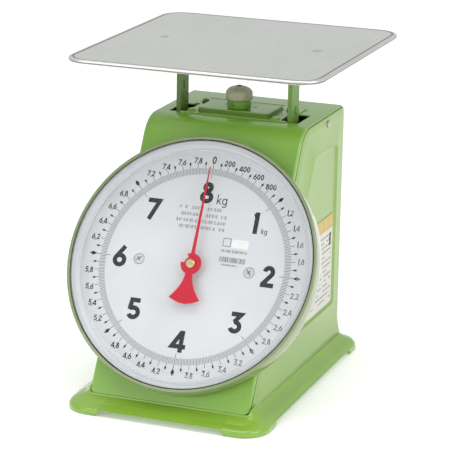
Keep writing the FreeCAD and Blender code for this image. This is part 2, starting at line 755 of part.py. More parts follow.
def make_pan():
    low = S.pan_top - S.pan_lip
    blank = rounded_slab("pan_blank", 0.0, low, S.pan_lip)
    round_edges(blank, 1.4, lambda edge: abs(edge.BoundBox.ZMin - S.pan_top.value) < 1e-4)
    hem = 1.6
    removed = [rounded_slab("pan_hollow", hem, low - 1, S.pan_lip - S.pan_gauge + 1)]
    for side in (-1, 1):
        cone = doc.addObject("Part::Cone", f"countersink_{side + 2}")
        cone.Radius1 = 1.9
        cone.Radius2 = 4.0
        cone.Height = 2.1
        place(cone, (side * S.pan_screw_x, PAN_SCREW_Y, S.pan_top - 2.1))
        removed.append(cone)
    tools = doc.addObject("Part::MultiFuse", "pan_removed")
    tools.Shapes = removed
    cut = doc.addObject("Part::Cut", "pan")
    cut.Base = blank
    cut.Tool = tools
    node(cut, "pan")
    profile = [(0, -9.0), (1.7, -9.0), (1.7, -2.15), (3.85, 0), (0, 0)]
    places = [(side * S.pan_screw_x, PAN_SCREW_Y, S.pan_top - 0.05) for side in (-1, 1)]
    turned_group("pan_screws", profile, places)


def rounded_slab(label, inset, low, thickness):
    """A slab in the pan's shape, drawn in from its edge by the inset."""
    half = S.pan_width / 2 - inset
    front = PAN_Y - S.pan_depth / 2 + inset
    back = PAN_Y + S.pan_depth / 2 - inset
    body = new_body(label)
    pad(body, thickness, "XY_Plane", [rectangle(-half, half, front, back)], (), low)
    round_edges(body, S.pan_corner - inset, is_upright)
    return body


def plain_bar(label, x0, x1, y0, y1, z0, z1, circles=()):
    body = new_body(label)
    pad(body, z1 - z0, "XY_Plane", [rectangle(x0, x1, y0, y1)], circles, z0)
    place(body, (0, 0, 0))
    return node(body, label)


def make_carrier_bars():
    inner = S.post_x
    outer = S.post_x + S.post_gauge
    x, y, z = rack_place()
    rack_top = z + TRAVEL.value + 7.0 + 13.0
    bar_low = rack_top - 14.0
    rack_bar = plain_bar("rack_bar", -outer, outer, S.post_front - 4.0, S.post_front, bar_low, bar_low + 12.0)
    screw_x = inner + 2.0
    pocket(rack_bar, None, "XZ_Plane", (), [(side * screw_x, bar_low + 6.0, 1.25) for side in (-1, 1)])
    plain_bar("rack_arm", x + 6.5 - 0.45, x + 9.5, y - 1.5, S.post_front - 4.0, bar_low + 2.0, bar_low + 10.0)
    plugs = [(side * S.spring_x, S.spring_y, 2.5) for side in (-1, 1)]
    plain_bar("spring_bar", -inner, inner, S.spring_y - 8.0, S.spring_y + 8.0,
              S.spring_bar_z - 3.0, S.spring_bar_z, plugs)
    plain_bar("lower_bar", -inner, inner, S.spring_y - 8.0, S.spring_y + 5.0,
              S.post_foot, S.post_foot + 3.0)
    heads = [(side * screw_x, S.post_front - 4.0, bar_low + 6.0) for side in (-1, 1)]
    turned_group("carrier_screws", screw_profile(3.0, 2.0, 1.2, 3.9), heads, Rotation(Vector(1, 0, 0), 90))


def make_spring(label, side):
    body = new_body(label)
    sketch = drawn(body, "XZ_Plane", (), [(S.spring_radius, 0, S.wire_radius)])
    coil = body.newObject("PartDesign::AdditiveHelix", label + "_coil")
    coil.Profile = sketch
    coil.ReferenceAxis = (sketch, ["V_Axis"])
    coil.Mode = "pitch-height-angle"
    height = S.spring_high - S.spring_low
    coil.Pitch = number(height / S.spring_turns)
    coil.Height = number(height)
    bind(coil, "Pitch", height / S.spring_turns)
    bind(coil, "Height", height)
    place(body, (side * S.spring_x, S.spring_y, S.spring_low))
    node(body, label)


def make_spring_ends():
    """Plugs that the coils' ends are screwed on to, above and below."""
    grip = S.spring_radius - S.wire_radius - 0.2
    shoulder = S.spring_radius + 1.6
    low_gap = S.spring_low - S.spring_bar_z
    profile = [(0, -3.0), (2.5, -3.0), (2.5, 0), (shoulder, 0), (shoulder, low_gap - 2.0),
               (grip, low_gap - 2.0), (grip, low_gap + 5.0), (0, low_gap + 5.0)]
    turned_group("lower_spring_plugs", profile,
                 [(side * S.spring_x, S.spring_y, S.spring_bar_z) for side in (-1, 1)])
    high_gap = S.hanger_z - S.spring_high
    profile = [(0, -high_gap - 5.0), (grip, -high_gap - 5.0), (grip, 2.0 - high_gap),
               (shoulder, 2.0 - high_gap), (shoulder, 0), (2.5, 0), (2.5, 6.0), (0, 6.0)]
    turned_group("upper_spring_plugs", profile,
                 [(side * S.spring_x, S.spring_y, S.hanger_z) for side in (-1, 1)])


# ---------------------------------------------------------------- parallel links


def link_angle():
    return math.degrees(math.atan(LINK_RISE.value / S.link_length.value))


def make_link(label, carrier_z):
    """A stirrup: two arms joined by a web, pivoted at the back and slotted at the front."""
    inside = S.post_x - 4.5
    outside = inside + 2.0
    length = S.link_length
    nose = length + 7.0
    web = length / 2
    body = new_body(label)
    outline = [(-outside, 5.0), (-inside, 5.0), (-inside, -web), (inside, -web), (inside, 5.0),
               (outside, 5.0), (outside, -nose), (inside, -nose), (inside, -web - 2.0),
               (-inside, -web - 2.0), (-inside, -nose), (-outside, -nose)]
    pad(body, 9.0, "XY_Plane", [outline], (), -4.5)
    running = S.link_pin_radius + S.running_gap
    pocket(body, None, "YZ_Plane", (), [(0, 0, running)])
    wide = S.link_pin_radius + 0.2
    pocket(body, None, "YZ_Plane", [rectangle(-length - 4.0, 0.5 - length + 1.9, -wide, wide)])
    turn = Rotation(Vector(1, 0, 0), -link_angle())
    place(body, (0, REAR_PIVOT_Y, carrier_z - LINK_RISE), turn)
    return node(body, label)


def make_link_mount(label, carrier_z):
    """A U-shaped bracket on the back wall that carries one link's rear pin."""
    outside = S.post_x + 1.0
    inside = outside - 2.0
    wall = BACK_Y - S.sheet_gauge
    plate = wall - 2.0
    nose = REAR_PIVOT_Y - 5.0
    body = new_body(label)
    outline = [(-outside, wall), (outside, wall), (outside, nose), (inside, nose), (inside, plate),
               (-inside, plate), (-inside, nose), (-outside, nose)]
    pad(body, 14.0, "XY_Plane", [outline], (), carrier_z - LINK_RISE - 7.0)
    pocket(body, None, "YZ_Plane", (), [(REAR_PIVOT_Y, carrier_z - LINK_RISE, S.link_pin_radius)])
    place(body, (0, 0, 0))
    return node(body, label)


def make_link_pins(prefix, carrier_z):
    radius = S.link_pin_radius
    reach = S.post_x + 2.5
    turned(prefix + "_rear_pin", [(0, -reach), (radius, -reach), (radius, reach), (0, reach)],
           (0, REAR_PIVOT_Y, carrier_z - LINK_RISE), ALONG_X)
    side_facing_group(prefix + "_front_pins", [(0, 0), (radius, 0), (radius, 9.2), (0, 9.2)],
                      S.post_x - 5.2, S.spring_y, carrier_z)


# ---------------------------------------------------------------- zero adjuster


def make_bridge():
    """The pressed plate on the case's top that carries the springs' load."""
    half = S.post_x - 0.5
    waist = S.post_x - 6.5
    front = S.post_front - 3.4
    slot_front = S.post_front - 0.6
    slot_back = S.post_front + S.post_depth + 14.0
    back = S.post_front + 56.0
    sheet = 1.2
    outline = [(-half, front), (half, front), (half, slot_front), (waist, slot_front), (waist, slot_back),
               (half, slot_back), (half, back), (-half, back), (-half, slot_back), (-waist, slot_back),
               (-waist, slot_front), (-half, slot_front)]
    body = new_body("hanger_bridge")
    pad(body, sheet, "XY_Plane", [outline], (), TOP_Z)
    top = S.bridge_rise
    raised = [(-31.0, front + 6.5), (31.0, front + 6.5), (34.0, front + 9.5), (34.0, back - 12.0),
              (31.0, back - 9.0), (-31.0, back - 9.0), (-34.0, back - 12.0), (-34.0, front + 9.5)]
    pad(body, top, "XY_Plane", [raised], (), TOP_Z)
    hollow = [(-30.5, front + 8.0), (30.5, front + 8.0), (32.5, front + 10.0), (32.5, back - 12.5),
              (30.5, back - 10.5), (-30.5, back - 10.5), (-32.5, back - 12.5), (-32.5, front + 10.0)]
    pocket(body, top - 1.2, "XY_Plane", [hollow], (), TOP_Z, True)
    holes = [(0, S.spring_y, 3.4), (-S.guide_x, S.spring_y, 2.0), (S.guide_x, S.spring_y, 2.0)]
    pocket(body, None, "XY_Plane", (), holes + [(x, y, 1.8) for x, y in bridge_front_holes()]
           + [(x, y, 2.2) for x, y in bridge_back_holes()])
    place(body, (0, 0, 0))
    node(body, "hanger_bridge")
    seat = TOP_Z + sheet
    turned_group("bridge_screws", screw_profile(4.0, 1.9, 1.7, 1.1),
                 [(x, y, seat) for x, y in bridge_front_holes()])
    turned_group("bridge_bolts", screw_profile(3.6, 3.4, 2.1, 1.1),
                 [(x, y, seat) for x, y in bridge_back_holes()])


def bridge_front_holes():
    return [(-41.0, number(S.post_front) + 3.6), (38.5, number(S.post_front) + 2.6)]


def bridge_back_holes():
    return [(side * 40.5, number(S.post_front) + 37.0) for side in (-1, 1)]


def make_zero_adjuster():
    seat = TOP_Z + S.bridge_rise
    screw = S.zero_screw_radius
    turned("thrust_washer", ring_profile(screw + 0.4, 7.0, 0, 0.6), (0, S.spring_y, seat))
    base = 0.7
    collar_top = base + 8.0
    turned("knob_collar", [(screw, base), (S.collar_radius, base), (S.collar_radius, collar_top),
                           (screw, collar_top)], (0, S.spring_y, seat))
    radius = S.knob_radius
    top = S.knob_height
    turned("zero_knob", [(screw, collar_top), (radius - 0.4, collar_top), (radius, collar_top + 1.0),
                         (radius, top - 7.6), (radius - 0.9, top - 5.0), (radius - 3.0, top - 2.6),
                         (radius - 6.2, top - 0.8), (2.4, top), (2.4, top - 2.0), (screw, top - 4.0)],
           (0, S.spring_y, seat))
    turned("knob_cap_screw", [(0, top - 3.9), (2.3, top - 3.9), (2.3, top - 0.4), (1.4, top + 0.3),
                              (0, top + 0.3)], (0, S.spring_y, seat))
    length = seat - S.hanger_z + 14.0
    turned("zero_screw", [(0, -length), (screw, -length), (screw, top - 4.0), (0, top - 4.0)],
           (0, S.spring_y, seat))
    turn = Rotation(Vector(0, 0, 1), -15.0)
    place_x = -math.sin(math.radians(15.0)) * S.collar_radius.value
    place_y = S.spring_y - math.cos(math.radians(15.0)) * S.collar_radius
    grub = turned_body("collar_grub_screw", [(0, -1.6), (1.3, -1.6), (1.3, 0), (2.0, 0), (2.0, 0.7),
                                             (0, 0.9)])
    place(grub, (place_x, place_y, seat + 4.9), turn.multiply(Rotation(Vector(1, 0, 0), 90)))
    node(grub, "collar_grub_screw")


def make_hanger():
    reach = S.spring_x + 11.0
    gap = S.zero_screw_radius + 0.1
    holes = [(0, S.spring_y, gap), (-S.guide_x, S.spring_y, 2.05), (S.guide_x, S.spring_y, 2.05)]
    plugs = [(side * S.spring_x, S.spring_y, 2.5) for side in (-1, 1)]
    plain_bar("spring_hanger", -reach, reach, S.spring_y - 7.0, S.spring_y + 7.0,
              S.hanger_z, S.hanger_z + 6.0, holes + plugs)
    guide_top = TOP_Z + S.bridge_rise - 0.2
    length = guide_top - S.hanger_z + 14.0
    turned_group("hanger_guides", [(0, -length), (1.95, -length), (1.95, 0), (0, 0)],
                 [(side * S.guide_x, S.spring_y, guide_top) for side in (-1, 1)])


def make_stop():
    """The overload stop on the base's deck, just under the carrier at full load."""
    gap = 0.3
    seat = S.case_lift
    head = S.post_foot - TRAVEL - gap
    rise = head - seat
    turned("stop_pillar", [(0, -6.0), (2.5, -6.0), (2.5, 0), (7.0, 0), (5.0, 4.0), (5.0, rise - 5.0),
                           (0, rise - 5.0)], (0, S.spring_y, seat))
    turned("stop_buffer", [(0, rise - 5.0), (6.5, rise - 5.0), (6.5, rise - 1.2), (5.0, rise), (0, rise)],
           (0, S.spring_y, seat))


# ---------------------------------------------------------------- the whole scale


def make_scale():
    make_base()
    make_base_fixings()
    make_case_shell()
    make_side_cover("side_cover_left", -1)
    make_side_cover("side_cover_right", 1)
    make_case_trim()
    make_dial()
    make_pointer()
    make_spindle()
    make_pinion()
    make_rack()
    make_movement_frame()
    make_post("post_left", -1)
    make_post("post_right", 1)
    side_facing_group("post_screws", screw_profile(3.4, 1.6, 1.6, 5.5), S.post_x + S.post_gauge,
                      S.post_front + 11.0, TOP_Z + 9.0)
    make_pan()
    make_carrier_bars()
    make_spring("spring_left", -1)
    make_spring("spring_right", 1)
    make_spring_ends()
    for prefix, height in (("upper", S.upper_pivot_z), ("lower", S.lower_pivot_z)):
        make_link(prefix + "_link", height)
        make_link_mount(prefix + "_link_bracket", height)
        make_link_pins(prefix, height)
    make_bridge()
    make_zero_adjuster()
    make_hanger()
    make_stop()


def check_document():
    doc.recompute()
    for item in doc.Objects:
        if "Invalid" in item.State or "Error" in item.State:
            raise RuntimeError(f"{item.Label} failed: {item.State}")
    for item in NODES:
        if item.Shape.isNull() or not item.Shape.isValid():
            raise RuntimeError(f"{item.Label} has no valid shape")


def export_nodes():
    os.makedirs("parts", exist_ok=True)
    for item in NODES:
        item.Shape.exportStep(f"parts/{item.Label}.step")
        print(f"{item.Label}: {len(item.Shape.Solids)} solid(s), {item.Shape.Volume:.1f} mm3")


make_scale()
check_document()
export_nodes()
print("nodes", len(NODES), "travel", round(TRAVEL.value, 4), "link angle", round(link_angle(), 4))
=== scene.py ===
import json
import math
import random

import bmesh
import bpy
from mathutils import Matrix, Vector


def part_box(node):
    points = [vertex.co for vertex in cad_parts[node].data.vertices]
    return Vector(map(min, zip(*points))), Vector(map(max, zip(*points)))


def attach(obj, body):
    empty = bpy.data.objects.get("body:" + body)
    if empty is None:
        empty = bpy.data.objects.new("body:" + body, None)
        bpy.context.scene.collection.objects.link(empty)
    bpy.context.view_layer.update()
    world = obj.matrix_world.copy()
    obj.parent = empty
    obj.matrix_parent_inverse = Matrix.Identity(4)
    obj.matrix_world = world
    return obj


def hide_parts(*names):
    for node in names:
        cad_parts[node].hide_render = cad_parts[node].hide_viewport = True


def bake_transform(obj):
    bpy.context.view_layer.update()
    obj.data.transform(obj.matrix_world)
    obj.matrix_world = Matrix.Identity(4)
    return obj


# The looks of a mechanical dial platform scale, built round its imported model. Metres throughout.

MM = 0.001

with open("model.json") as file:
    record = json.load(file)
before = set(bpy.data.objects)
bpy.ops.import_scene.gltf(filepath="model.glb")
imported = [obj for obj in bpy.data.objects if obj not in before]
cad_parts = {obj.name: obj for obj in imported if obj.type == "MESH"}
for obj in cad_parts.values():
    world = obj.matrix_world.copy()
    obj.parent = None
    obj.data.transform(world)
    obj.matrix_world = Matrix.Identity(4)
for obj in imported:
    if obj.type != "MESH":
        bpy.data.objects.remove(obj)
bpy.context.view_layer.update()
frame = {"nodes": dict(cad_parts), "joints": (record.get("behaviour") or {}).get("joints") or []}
nodes = frame["nodes"]
joints = {joint["name"]: joint for joint in frame["joints"]}

# ---- places taken from the frame

PAN_LOW, PAN_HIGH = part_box("pan")
BASE_LOW, BASE_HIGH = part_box("base")
CASE_LOW, CASE_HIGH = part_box("case_shell")
KNOB_LOW, KNOB_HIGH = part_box("zero_knob")
COLLAR_LOW, COLLAR_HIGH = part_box("knob_collar")

SPINDLE = Vector(joints["pointer_turn"]["pos_m"])
DIAL_OUT = -Vector(joints["pointer_turn"]["axis"]).normalized()
DIAL_RIGHT = Vector((1, 0, 0))
DIAL_UP = DIAL_OUT.cross(DIAL_RIGHT)
DIAL = Matrix.Translation(SPINDLE) @ Matrix((DIAL_RIGHT, DIAL_UP, DIAL_OUT)).transposed().to_4x4()
FACE_SLOPE = DIAL_UP.y / DIAL_UP.z


def out_of_face(node):
    """How far a node's front stands out from the sloping face, along the spindle."""
    return max((vertex.co - SPINDLE).dot(DIAL_OUT) for vertex in nodes[node].data.vertices)


DIAL_TOP = out_of_face("dial_plate")
POINTER_TOP = out_of_face("pointer")
COVER_TOP = out_of_face("dial_cover")
BEZEL_TOP = out_of_face("bezel_ring")
BEZEL_RADIUS = (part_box("bezel_ring")[1].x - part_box("bezel_ring")[0].x) / 2

# ---- materials


class Shader:
    """A small helper that builds one procedural material round a Principled shader."""

    def __init__(self, name, **sockets):
        self.material = bpy.data.materials.new(name)
        self.material.use_nodes = True
        self.tree = self.material.node_tree
        self.surface = self.tree.nodes["Principled BSDF"]
        for socket, value in sockets.items():
            self.surface.inputs[socket.replace("_", " ")].default_value = value
        self.place = self.tree.nodes.new("ShaderNodeTexCoord").outputs["Object"]

    def node(self, kind, settings=(), **inputs):
        made = self.tree.nodes.new(kind)
        for name, value in dict(settings).items():
            setattr(made, name, value)
        for name, value in inputs.items():
            socket = made.inputs[name.replace("_", " ")]
            if isinstance(value, bpy.types.NodeSocket):
                self.tree.links.new(value, socket)
            else:
                socket.default_value = value
        return made

    def link(self, output, socket):
        self.tree.links.new(output, self.surface.inputs[socket])

    def noise(self, scale, detail=3.0, stretch=(1, 1, 1), roughness=0.5):
        mapping = self.node("ShaderNodeMapping", Vector=self.place, Scale=stretch)
        return self.node("ShaderNodeTexNoise", Vector=mapping.outputs[0], Scale=scale, Detail=detail,
                         Roughness=roughness).outputs["Fac"]

    def remap(self, value, low, high, start=0.3, end=0.7):
        made = self.node("ShaderNodeMapRange", Value=value, From_Min=start, From_Max=end,
                         To_Min=low, To_Max=high)
        return made.outputs["Result"]

    def mix(self, factor, first, second):
        made = self.node("ShaderNodeMix", {"data_type": "RGBA"})
        for socket, value in ((made.inputs[0], factor), (made.inputs[6], first), (made.inputs[7], second)):
            if isinstance(value, bpy.types.NodeSocket):
                self.tree.links.new(value, socket)
            else:
                socket.default_value = value
        return made.outputs[2]

    def shade(self, value, color, dark, bright):
        """A base colour that drifts between a darker and a brighter tone."""
        drift = self.mix(self.remap(value, 0.0, 1.0), tone(color, dark), tone(color, bright))
        self.link(drift, "Base Color")

    def bump(self, height, strength, distance):
        """Fine relief on the surface; distance is its depth in metres."""
        made = self.node("ShaderNodeBump", Height=height, Strength=strength, Distance=distance)
        self.link(made.outputs["Normal"], "Normal")


def tone(color, factor):
    return (*[min(channel * factor, 1.0) for channel in color[:3]], 1.0)


def paint(name, color, roughness=0.3, coat=0.4, peel=0.03, gloss=0.12):
    """Sprayed enamel: slight drifts of tone, dulled patches and a fine orange-peel skin."""
    shader = Shader(name, Coat_Weight=coat, Coat_Roughness=gloss)
    drift = shader.noise(14.0, 4.0)
    fleck = shader.noise(300.0, 2.0)
    broad = shader.mix(shader.remap(drift, 0.0, 1.0), tone(color, 0.95), tone(color, 1.05))
    speck = shader.mix(shader.remap(fleck, 0.0, 0.06), broad, tone(color, 0.8))
    shader.link(speck, "Base Color")
    dullness = shader.noise(12.0, 1.0)
    shader.link(shader.remap(dullness, roughness - 0.04, roughness + 0.05, 0.2, 0.8), "Roughness")
    shader.bump(shader.noise(800.0, 2.0), peel, 0.0002)
    return shader.material


def metal(name, color, roughness=0.3, grain=(1, 40, 40), scale=60.0, depth=0.08):
    """Rolled or drawn steel with its grain along one axis, and faint rubbed patches."""
    shader = Shader(name, Metallic=1.0)
    lines = shader.noise(scale, 5.0, grain, 0.65)
    cloud = shader.noise(9.0, 3.0)
    body = shader.mix(shader.remap(lines, 0.0, 1.0), tone(color, 0.9), tone(color, 1.06))
    worn = shader.mix(shader.remap(cloud, 0.0, 0.3), body, tone(color, 0.85))
    shader.link(worn, "Base Color")
    shader.link(shader.remap(lines, roughness - 0.06, roughness + 0.1), "Roughness")
    shader.bump(lines, depth, 0.0001)
    return shader.material


def plastic(name, color, roughness=0.35, grain=0.05):
    """Moulded plastic: an even colour with slight flow marks and a fine skin."""
    shader = Shader(name, Coat_Weight=0.25, Coat_Roughness=0.15)
    flow = shader.noise(45.0, 3.0, (1, 1, 4))
    shader.shade(flow, color, 0.94, 1.04)
    shader.link(shader.remap(shader.noise(120.0), roughness - 0.05, roughness + 0.08), "Roughness")
    shader.bump(shader.noise(900.0, 2.0), grain, 0.0002)
    return shader.material


def ink(name, color):
    """Screen-printed ink: nearly flat, a little uneven in its density."""
    shader = Shader(name)
    density = shader.noise(600.0, 3.0)
    shader.shade(density, color, 0.9, 1.12)
    shader.link(shader.remap(density, 0.42, 0.6), "Roughness")
    return shader.material


def clear(name, color, alpha, roughness):
    """Clear moulded plastic, seen through: a thin tint, fine scratches and a gloss."""
    shader = Shader(name, Alpha=alpha, Coat_Weight=1.0, Coat_Roughness=0.03)
    haze = shader.noise(30.0, 4.0)
    shader.shade(haze, color, 0.97, 1.02)
    shader.link(shader.remap(haze, roughness, roughness + 0.06), "Roughness")
    return shader.material


def rubber(name, color):
    shader = Shader(name)
    bloom = shader.noise(80.0, 4.0)
    shader.shade(bloom, color, 0.8, 1.6)
    shader.link(shader.remap(bloom, 0.6, 0.85), "Roughness")
    shader.bump(shader.noise(1400.0, 2.0), 0.2, 0.0002)
    return shader.material


def paper(name, color):
    shader = Shader(name, Coat_Weight=0.2)
    fibre = shader.noise(500.0, 5.0, (1, 1, 0.4))
    shader.shade(fibre, color, 0.95, 1.03)
    shader.link(shader.remap(fibre, 0.4, 0.6), "Roughness")
    shader.bump(fibre, 0.05, 0.0001)
    return shader.material


GREEN = (0.205, 0.415, 0.048)
RIM_GREEN = (0.215, 0.27, 0.12)
MATERIALS = {
    "green": paint("case_paint", GREEN),
    "base_green": paint("base_paint", (0.225, 0.41, 0.040), 0.24, 0.5, 0.03, 0.05),
    # A darker tone of the case green: painted shade on the plateau's side walls, the bridge bolts and the
    # collar's grub screw.
    "painted_shade_green": paint("shaded_green_paint", tone(GREEN, 0.44), 0.6, 0.0),
    "rim_green": paint("rim_paint", RIM_GREEN, 0.16, 1.0, 0.02, 0.04),
    "pan": metal("pan_steel", (0.73, 0.755, 0.725), 0.36, (40, 1, 40), 22.0, 0.04),
    "bright": metal("bright_steel", (0.62, 0.62, 0.60), 0.22),
    "zinc": metal("zinc_steel", (0.50, 0.51, 0.50), 0.36, (1, 1, 1), 150.0, 0.1),
    "dark": metal("dark_steel", (0.16, 0.16, 0.15), 0.4, (1, 1, 1), 200.0, 0.1),
    "spring": metal("spring_steel", (0.30, 0.30, 0.31), 0.3, (1, 1, 8), 200.0, 0.05),
    "brass": metal("brass", (0.74, 0.56, 0.24), 0.3, (1, 1, 1), 200.0, 0.06),
    "dial": paint("dial_enamel", (0.665, 0.69, 0.71), 0.5, 0.0, 0.02),
    "screw_white": paint("screw_enamel", (0.56, 0.58, 0.59), 0.35, 0.3, 0.04),
    "red": paint("pointer_enamel", (0.56, 0.005, 0.028), 0.5, 0.0, 0.05),
    "ivory": plastic("knob_plastic", (0.33, 0.34, 0.22), 0.4),
    "pan_edge": metal("pan_edge_steel", (0.25, 0.21, 0.18), 0.3),
    "gap": rubber("gap_shadow", (0.010, 0.016, 0.006)),
    "ink": ink("dial_ink", (0.020, 0.023, 0.020)),
    "grey_ink": ink("tick_ink", (0.075, 0.08, 0.078)),
    "pale_ink": ink("seal_ink", (0.15, 0.155, 0.15)),
    "window": clear("cover_window", (0.90, 0.92, 0.94), 0.02, 0.05),
    # The two rim tints below are painted reflection of the curved plastic, darker and more opaque on the
    # steep wall.
    "rim_clear": clear("cover_shoulder", (0.66, 0.68, 0.71), 0.16, 0.08),
    "wall_clear": clear("cover_wall", (0.50, 0.52, 0.54), 0.3, 0.1),
    # A near-black ring: painted shadow in the gap between bezel and cover.
    "rim_shadow_ring": rubber("gap_shade_rubber", (0.012, 0.012, 0.012)),
    "rubber": rubber("foot_rubber", (0.018, 0.018, 0.018)),
    "patch": paper("seal_paper", (0.86, 0.86, 0.84)),
    "post_green": paint("post_paint", tone(GREEN, 0.62), 0.45, 0.1),
    "post_shade": paint("shaded_post_paint", tone(GREEN, 0.40), 0.5, 0.05),
    "side_green": paint("side_cover_paint", (0.220, 0.366, 0.058)),
    "label_white": paper("label_paper", (0.62, 0.61, 0.57)),
    "label_yellow": paper("label_band", (0.52, 0.40, 0.10)),
}

for dull in ("red", "ink", "grey_ink"):
    MATERIALS[dull].node_tree.nodes["Principled BSDF"].inputs["Specular IOR Level"].default_value = 0.15

# ---- mesh helpers

def scaled(pairs):
    """Pairs of millimetres as metres."""
    return [(first * MM, second * MM) for first, second in pairs]

def clamp(value):
    """A value held between 0 and 1."""
    return min(max(value, 0.0), 1.0)


def new_piece(name, vertices, faces, material, body, smooth=True):
    mesh = bpy.data.meshes.new(name)
    mesh.from_pydata([tuple(vertex) for vertex in vertices], [], faces)
    tidy = bmesh.new()
    tidy.from_mesh(mesh)
    bmesh.ops.recalc_face_normals(tidy, faces=tidy.faces)
    tidy.to_mesh(mesh)
    tidy.free()
    piece = bpy.data.objects.new(name, mesh)
    bpy.context.scene.collection.objects.link(piece)
    mesh.materials.append(MATERIALS[material])
    if smooth:
        mesh.shade_smooth()
    if body is not None:
        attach(piece, body)
    return piece


def soften(piece, width, segments=3, angle=30.0):
    """Rounds a piece's sharp edges and keeps its flat faces flat."""
    bevel = piece.modifiers.new("rounding", "BEVEL")
    bevel.width = width
    bevel.segments = segments
    bevel.limit_method = "ANGLE"
    bevel.angle_limit = math.radians(angle)
    bevel.harden_normals = True
    return piece


def skin_loops(loops, close_first=True, close_last=True):
    """Vertices and faces of a surface through closed loops that have the same number of points."""
    count = len(loops[0])
    vertices = [point for loop in loops for point in loop]
    faces = []
    for row in range(len(loops) - 1):
        for column in range(count):
            after = (column + 1) % count
            faces.append((row * count + column, row * count + after,
                          (row + 1) * count + after, (row + 1) * count + column))
    if close_first:
        faces.append(tuple(range(count)))
    if close_last:
        last = (len(loops) - 1) * count
        faces.append(tuple(last + column for column in range(count)))
    return vertices, faces


def lathe(name, profile, material, body, place, segments=96):
    """A turned piece: profile is a list of (radius, height) that may start and end on the axis."""
    turns = [2 * math.pi * i / segments for i in range(segments)]
    loops = [[place @ Vector((radius * math.cos(turn), radius * math.sin(turn), height)) for turn in turns]
             for radius, height in profile]
    vertices, faces = skin_loops(loops, profile[0][0] > 0, profile[-1][0] > 0)
    piece = new_piece(name, vertices, faces, material, body)
    weld(piece)
    return piece


def weld(piece, distance=1e-7):
    mesh = bmesh.new()
    mesh.from_mesh(piece.data)
    bmesh.ops.remove_doubles(mesh, verts=mesh.verts, dist=distance)
    bmesh.ops.recalc_face_normals(mesh, faces=mesh.faces)
    mesh.to_mesh(piece.data)
    mesh.free()


def ring_lathe(name, profile, material, body, place, segments=128):
    """A turned ring: profile is a closed loop of (radius, height) that stays off the axis."""
    count = len(profile)
    vertices = []
    for i in range(segments):
        turn = 2 * math.pi * i / segments
        vertices += [place @ Vector((r * math.cos(turn), r * math.sin(turn), h)) for r, h in profile]
    faces = []
    for i in range(segments):
        after = (i + 1) % segments
        for j in range(count):
            k = (j + 1) % count
            faces.append((i * count + j, i * count + k, after * count + k, after * count + j))
    return new_piece(name, vertices, faces, material, body)


def rounded(points, radii, steps=6):
    """A closed outline with its corners turned into arcs."""
    outline = []
    count = len(points)
    for i, corner in enumerate(points):
        radius = radii[i] if isinstance(radii, (list, tuple)) else radii
        corner = Vector(corner)
        before = (Vector(points[i - 1]) - corner).normalized()
        after = (Vector(points[(i + 1) % count]) - corner).normalized()
        half = before.angle(after) / 2
        reach = radius / math.tan(half)
        middle = corner + (before + after).normalized() * (radius / math.sin(half))
        first = corner + before * reach - middle
        last = corner + after * reach - middle
        sweep = math.atan2(first.x * last.y - first.y * last.x, first.dot(last))
        for step in range(steps + 1):
            turn = sweep * step / steps
            outline.append(middle + Vector((first.x * math.cos(turn) - first.y * math.sin(turn),
                                            first.x * math.sin(turn) + first.y * math.cos(turn))))
    return outline


# ---- pan


def make_pan():
    """A pressed sheet with a rounded rim, turned down and hemmed, very slightly dished."""
    half_x = (PAN_HIGH.x - PAN_LOW.x) / 2
    half_y = (PAN_HIGH.y - PAN_LOW.y) / 2
    middle = Vector(((PAN_HIGH.x + PAN_LOW.x) / 2, (PAN_HIGH.y + PAN_LOW.y) / 2, 0))
    top = PAN_HIGH.z
    corner = 22 * MM
    deep = top - PAN_LOW.z
    # (inset from the edge, height below the rim)
    outer = [(70.0, 0.30), (40.0, 0.28), (12.0, 0.22), (5.0, 0.10), (3.0, 0.03), (1.9, 0.0), (1.1, 0.12),
             (0.5, 0.45), (0.12, 1.0), (0.0, 1.7), (0.0, 2.3), (0.05, 2.75), (0.5, 3.3), (0.9, 3.4)]
    inner = [(1.4, 3.3), (1.75, 3.0), (1.9, 2.5), (2.0, 1.9), (2.6, 1.45), (12.0, 1.42), (40.0, 1.48),
             (70.0, 1.5)]
    loops = []
    for inset, drop in scaled(outer + inner):
        drop = min(drop, deep)
        a, b = half_x - inset, half_y - inset
        outline = rounded([(-a, -b), (a, -b), (a, b), (-a, b)], max(corner - inset, 2 * MM), 10)
        loops.append([middle + Vector((p.x, p.y, top - drop)) for p in outline])
    vertices, faces = skin_loops(loops)
    pan = new_piece("pan_plate", vertices, faces, "pan", "carrier")
    pan.data.materials.append(MATERIALS["pan_edge"])
    ring = len(loops[0])
    # The rows in dark_rows take a darker brown: a band on the slope up to the crest and one on the lower
    # outer wall.
    dark_rows = (3, 9, 10)
    for polygon in pan.data.polygons:
        row = min(polygon.vertices) // ring
        if len(polygon.vertices) == 4 and row in dark_rows:
            polygon.material_index = 1
    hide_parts("pan")


# ---- base

FOOT_X = 34 * MM
FOOT_Y = 37 * MM
SKIRT_GAP = 5.6 * MM


def perimeter(low, high, corner, cuts_x, cuts_y, steps=10):
    """Points round a rounded rectangle, with extra ones where the feet begin and end."""
    x0, x1, y0, y1 = low.x, high.x, low.y, high.y
    sides = [((x0, y0), (x1, y0), 0, cuts_x), ((x1, y0), (x1, y1), 1, cuts_y),
             ((x1, y1), (x0, y1), 0, cuts_x[::-1]), ((x0, y1), (x0, y0), 1, cuts_y[::-1])]
    points = []
    for number, (start, end, axis, cuts) in enumerate(sides):
        for cut in cuts:
            points.append((cut, start[1]) if axis == 0 else (start[0], cut))
        turn = math.pi / 2 * (number - 1)
        inward_x = -corner if end[0] > (x0 + x1) / 2 else corner
        inward_y = -corner if end[1] > (y0 + y1) / 2 else corner
        middle = (end[0] + inward_x, end[1] + inward_y)
        for step in range(steps + 1):
            angle = turn + math.pi / 2 * step / steps
            points.append((middle[0] + corner * math.cos(angle), middle[1] + corner * math.sin(angle)))
    return points


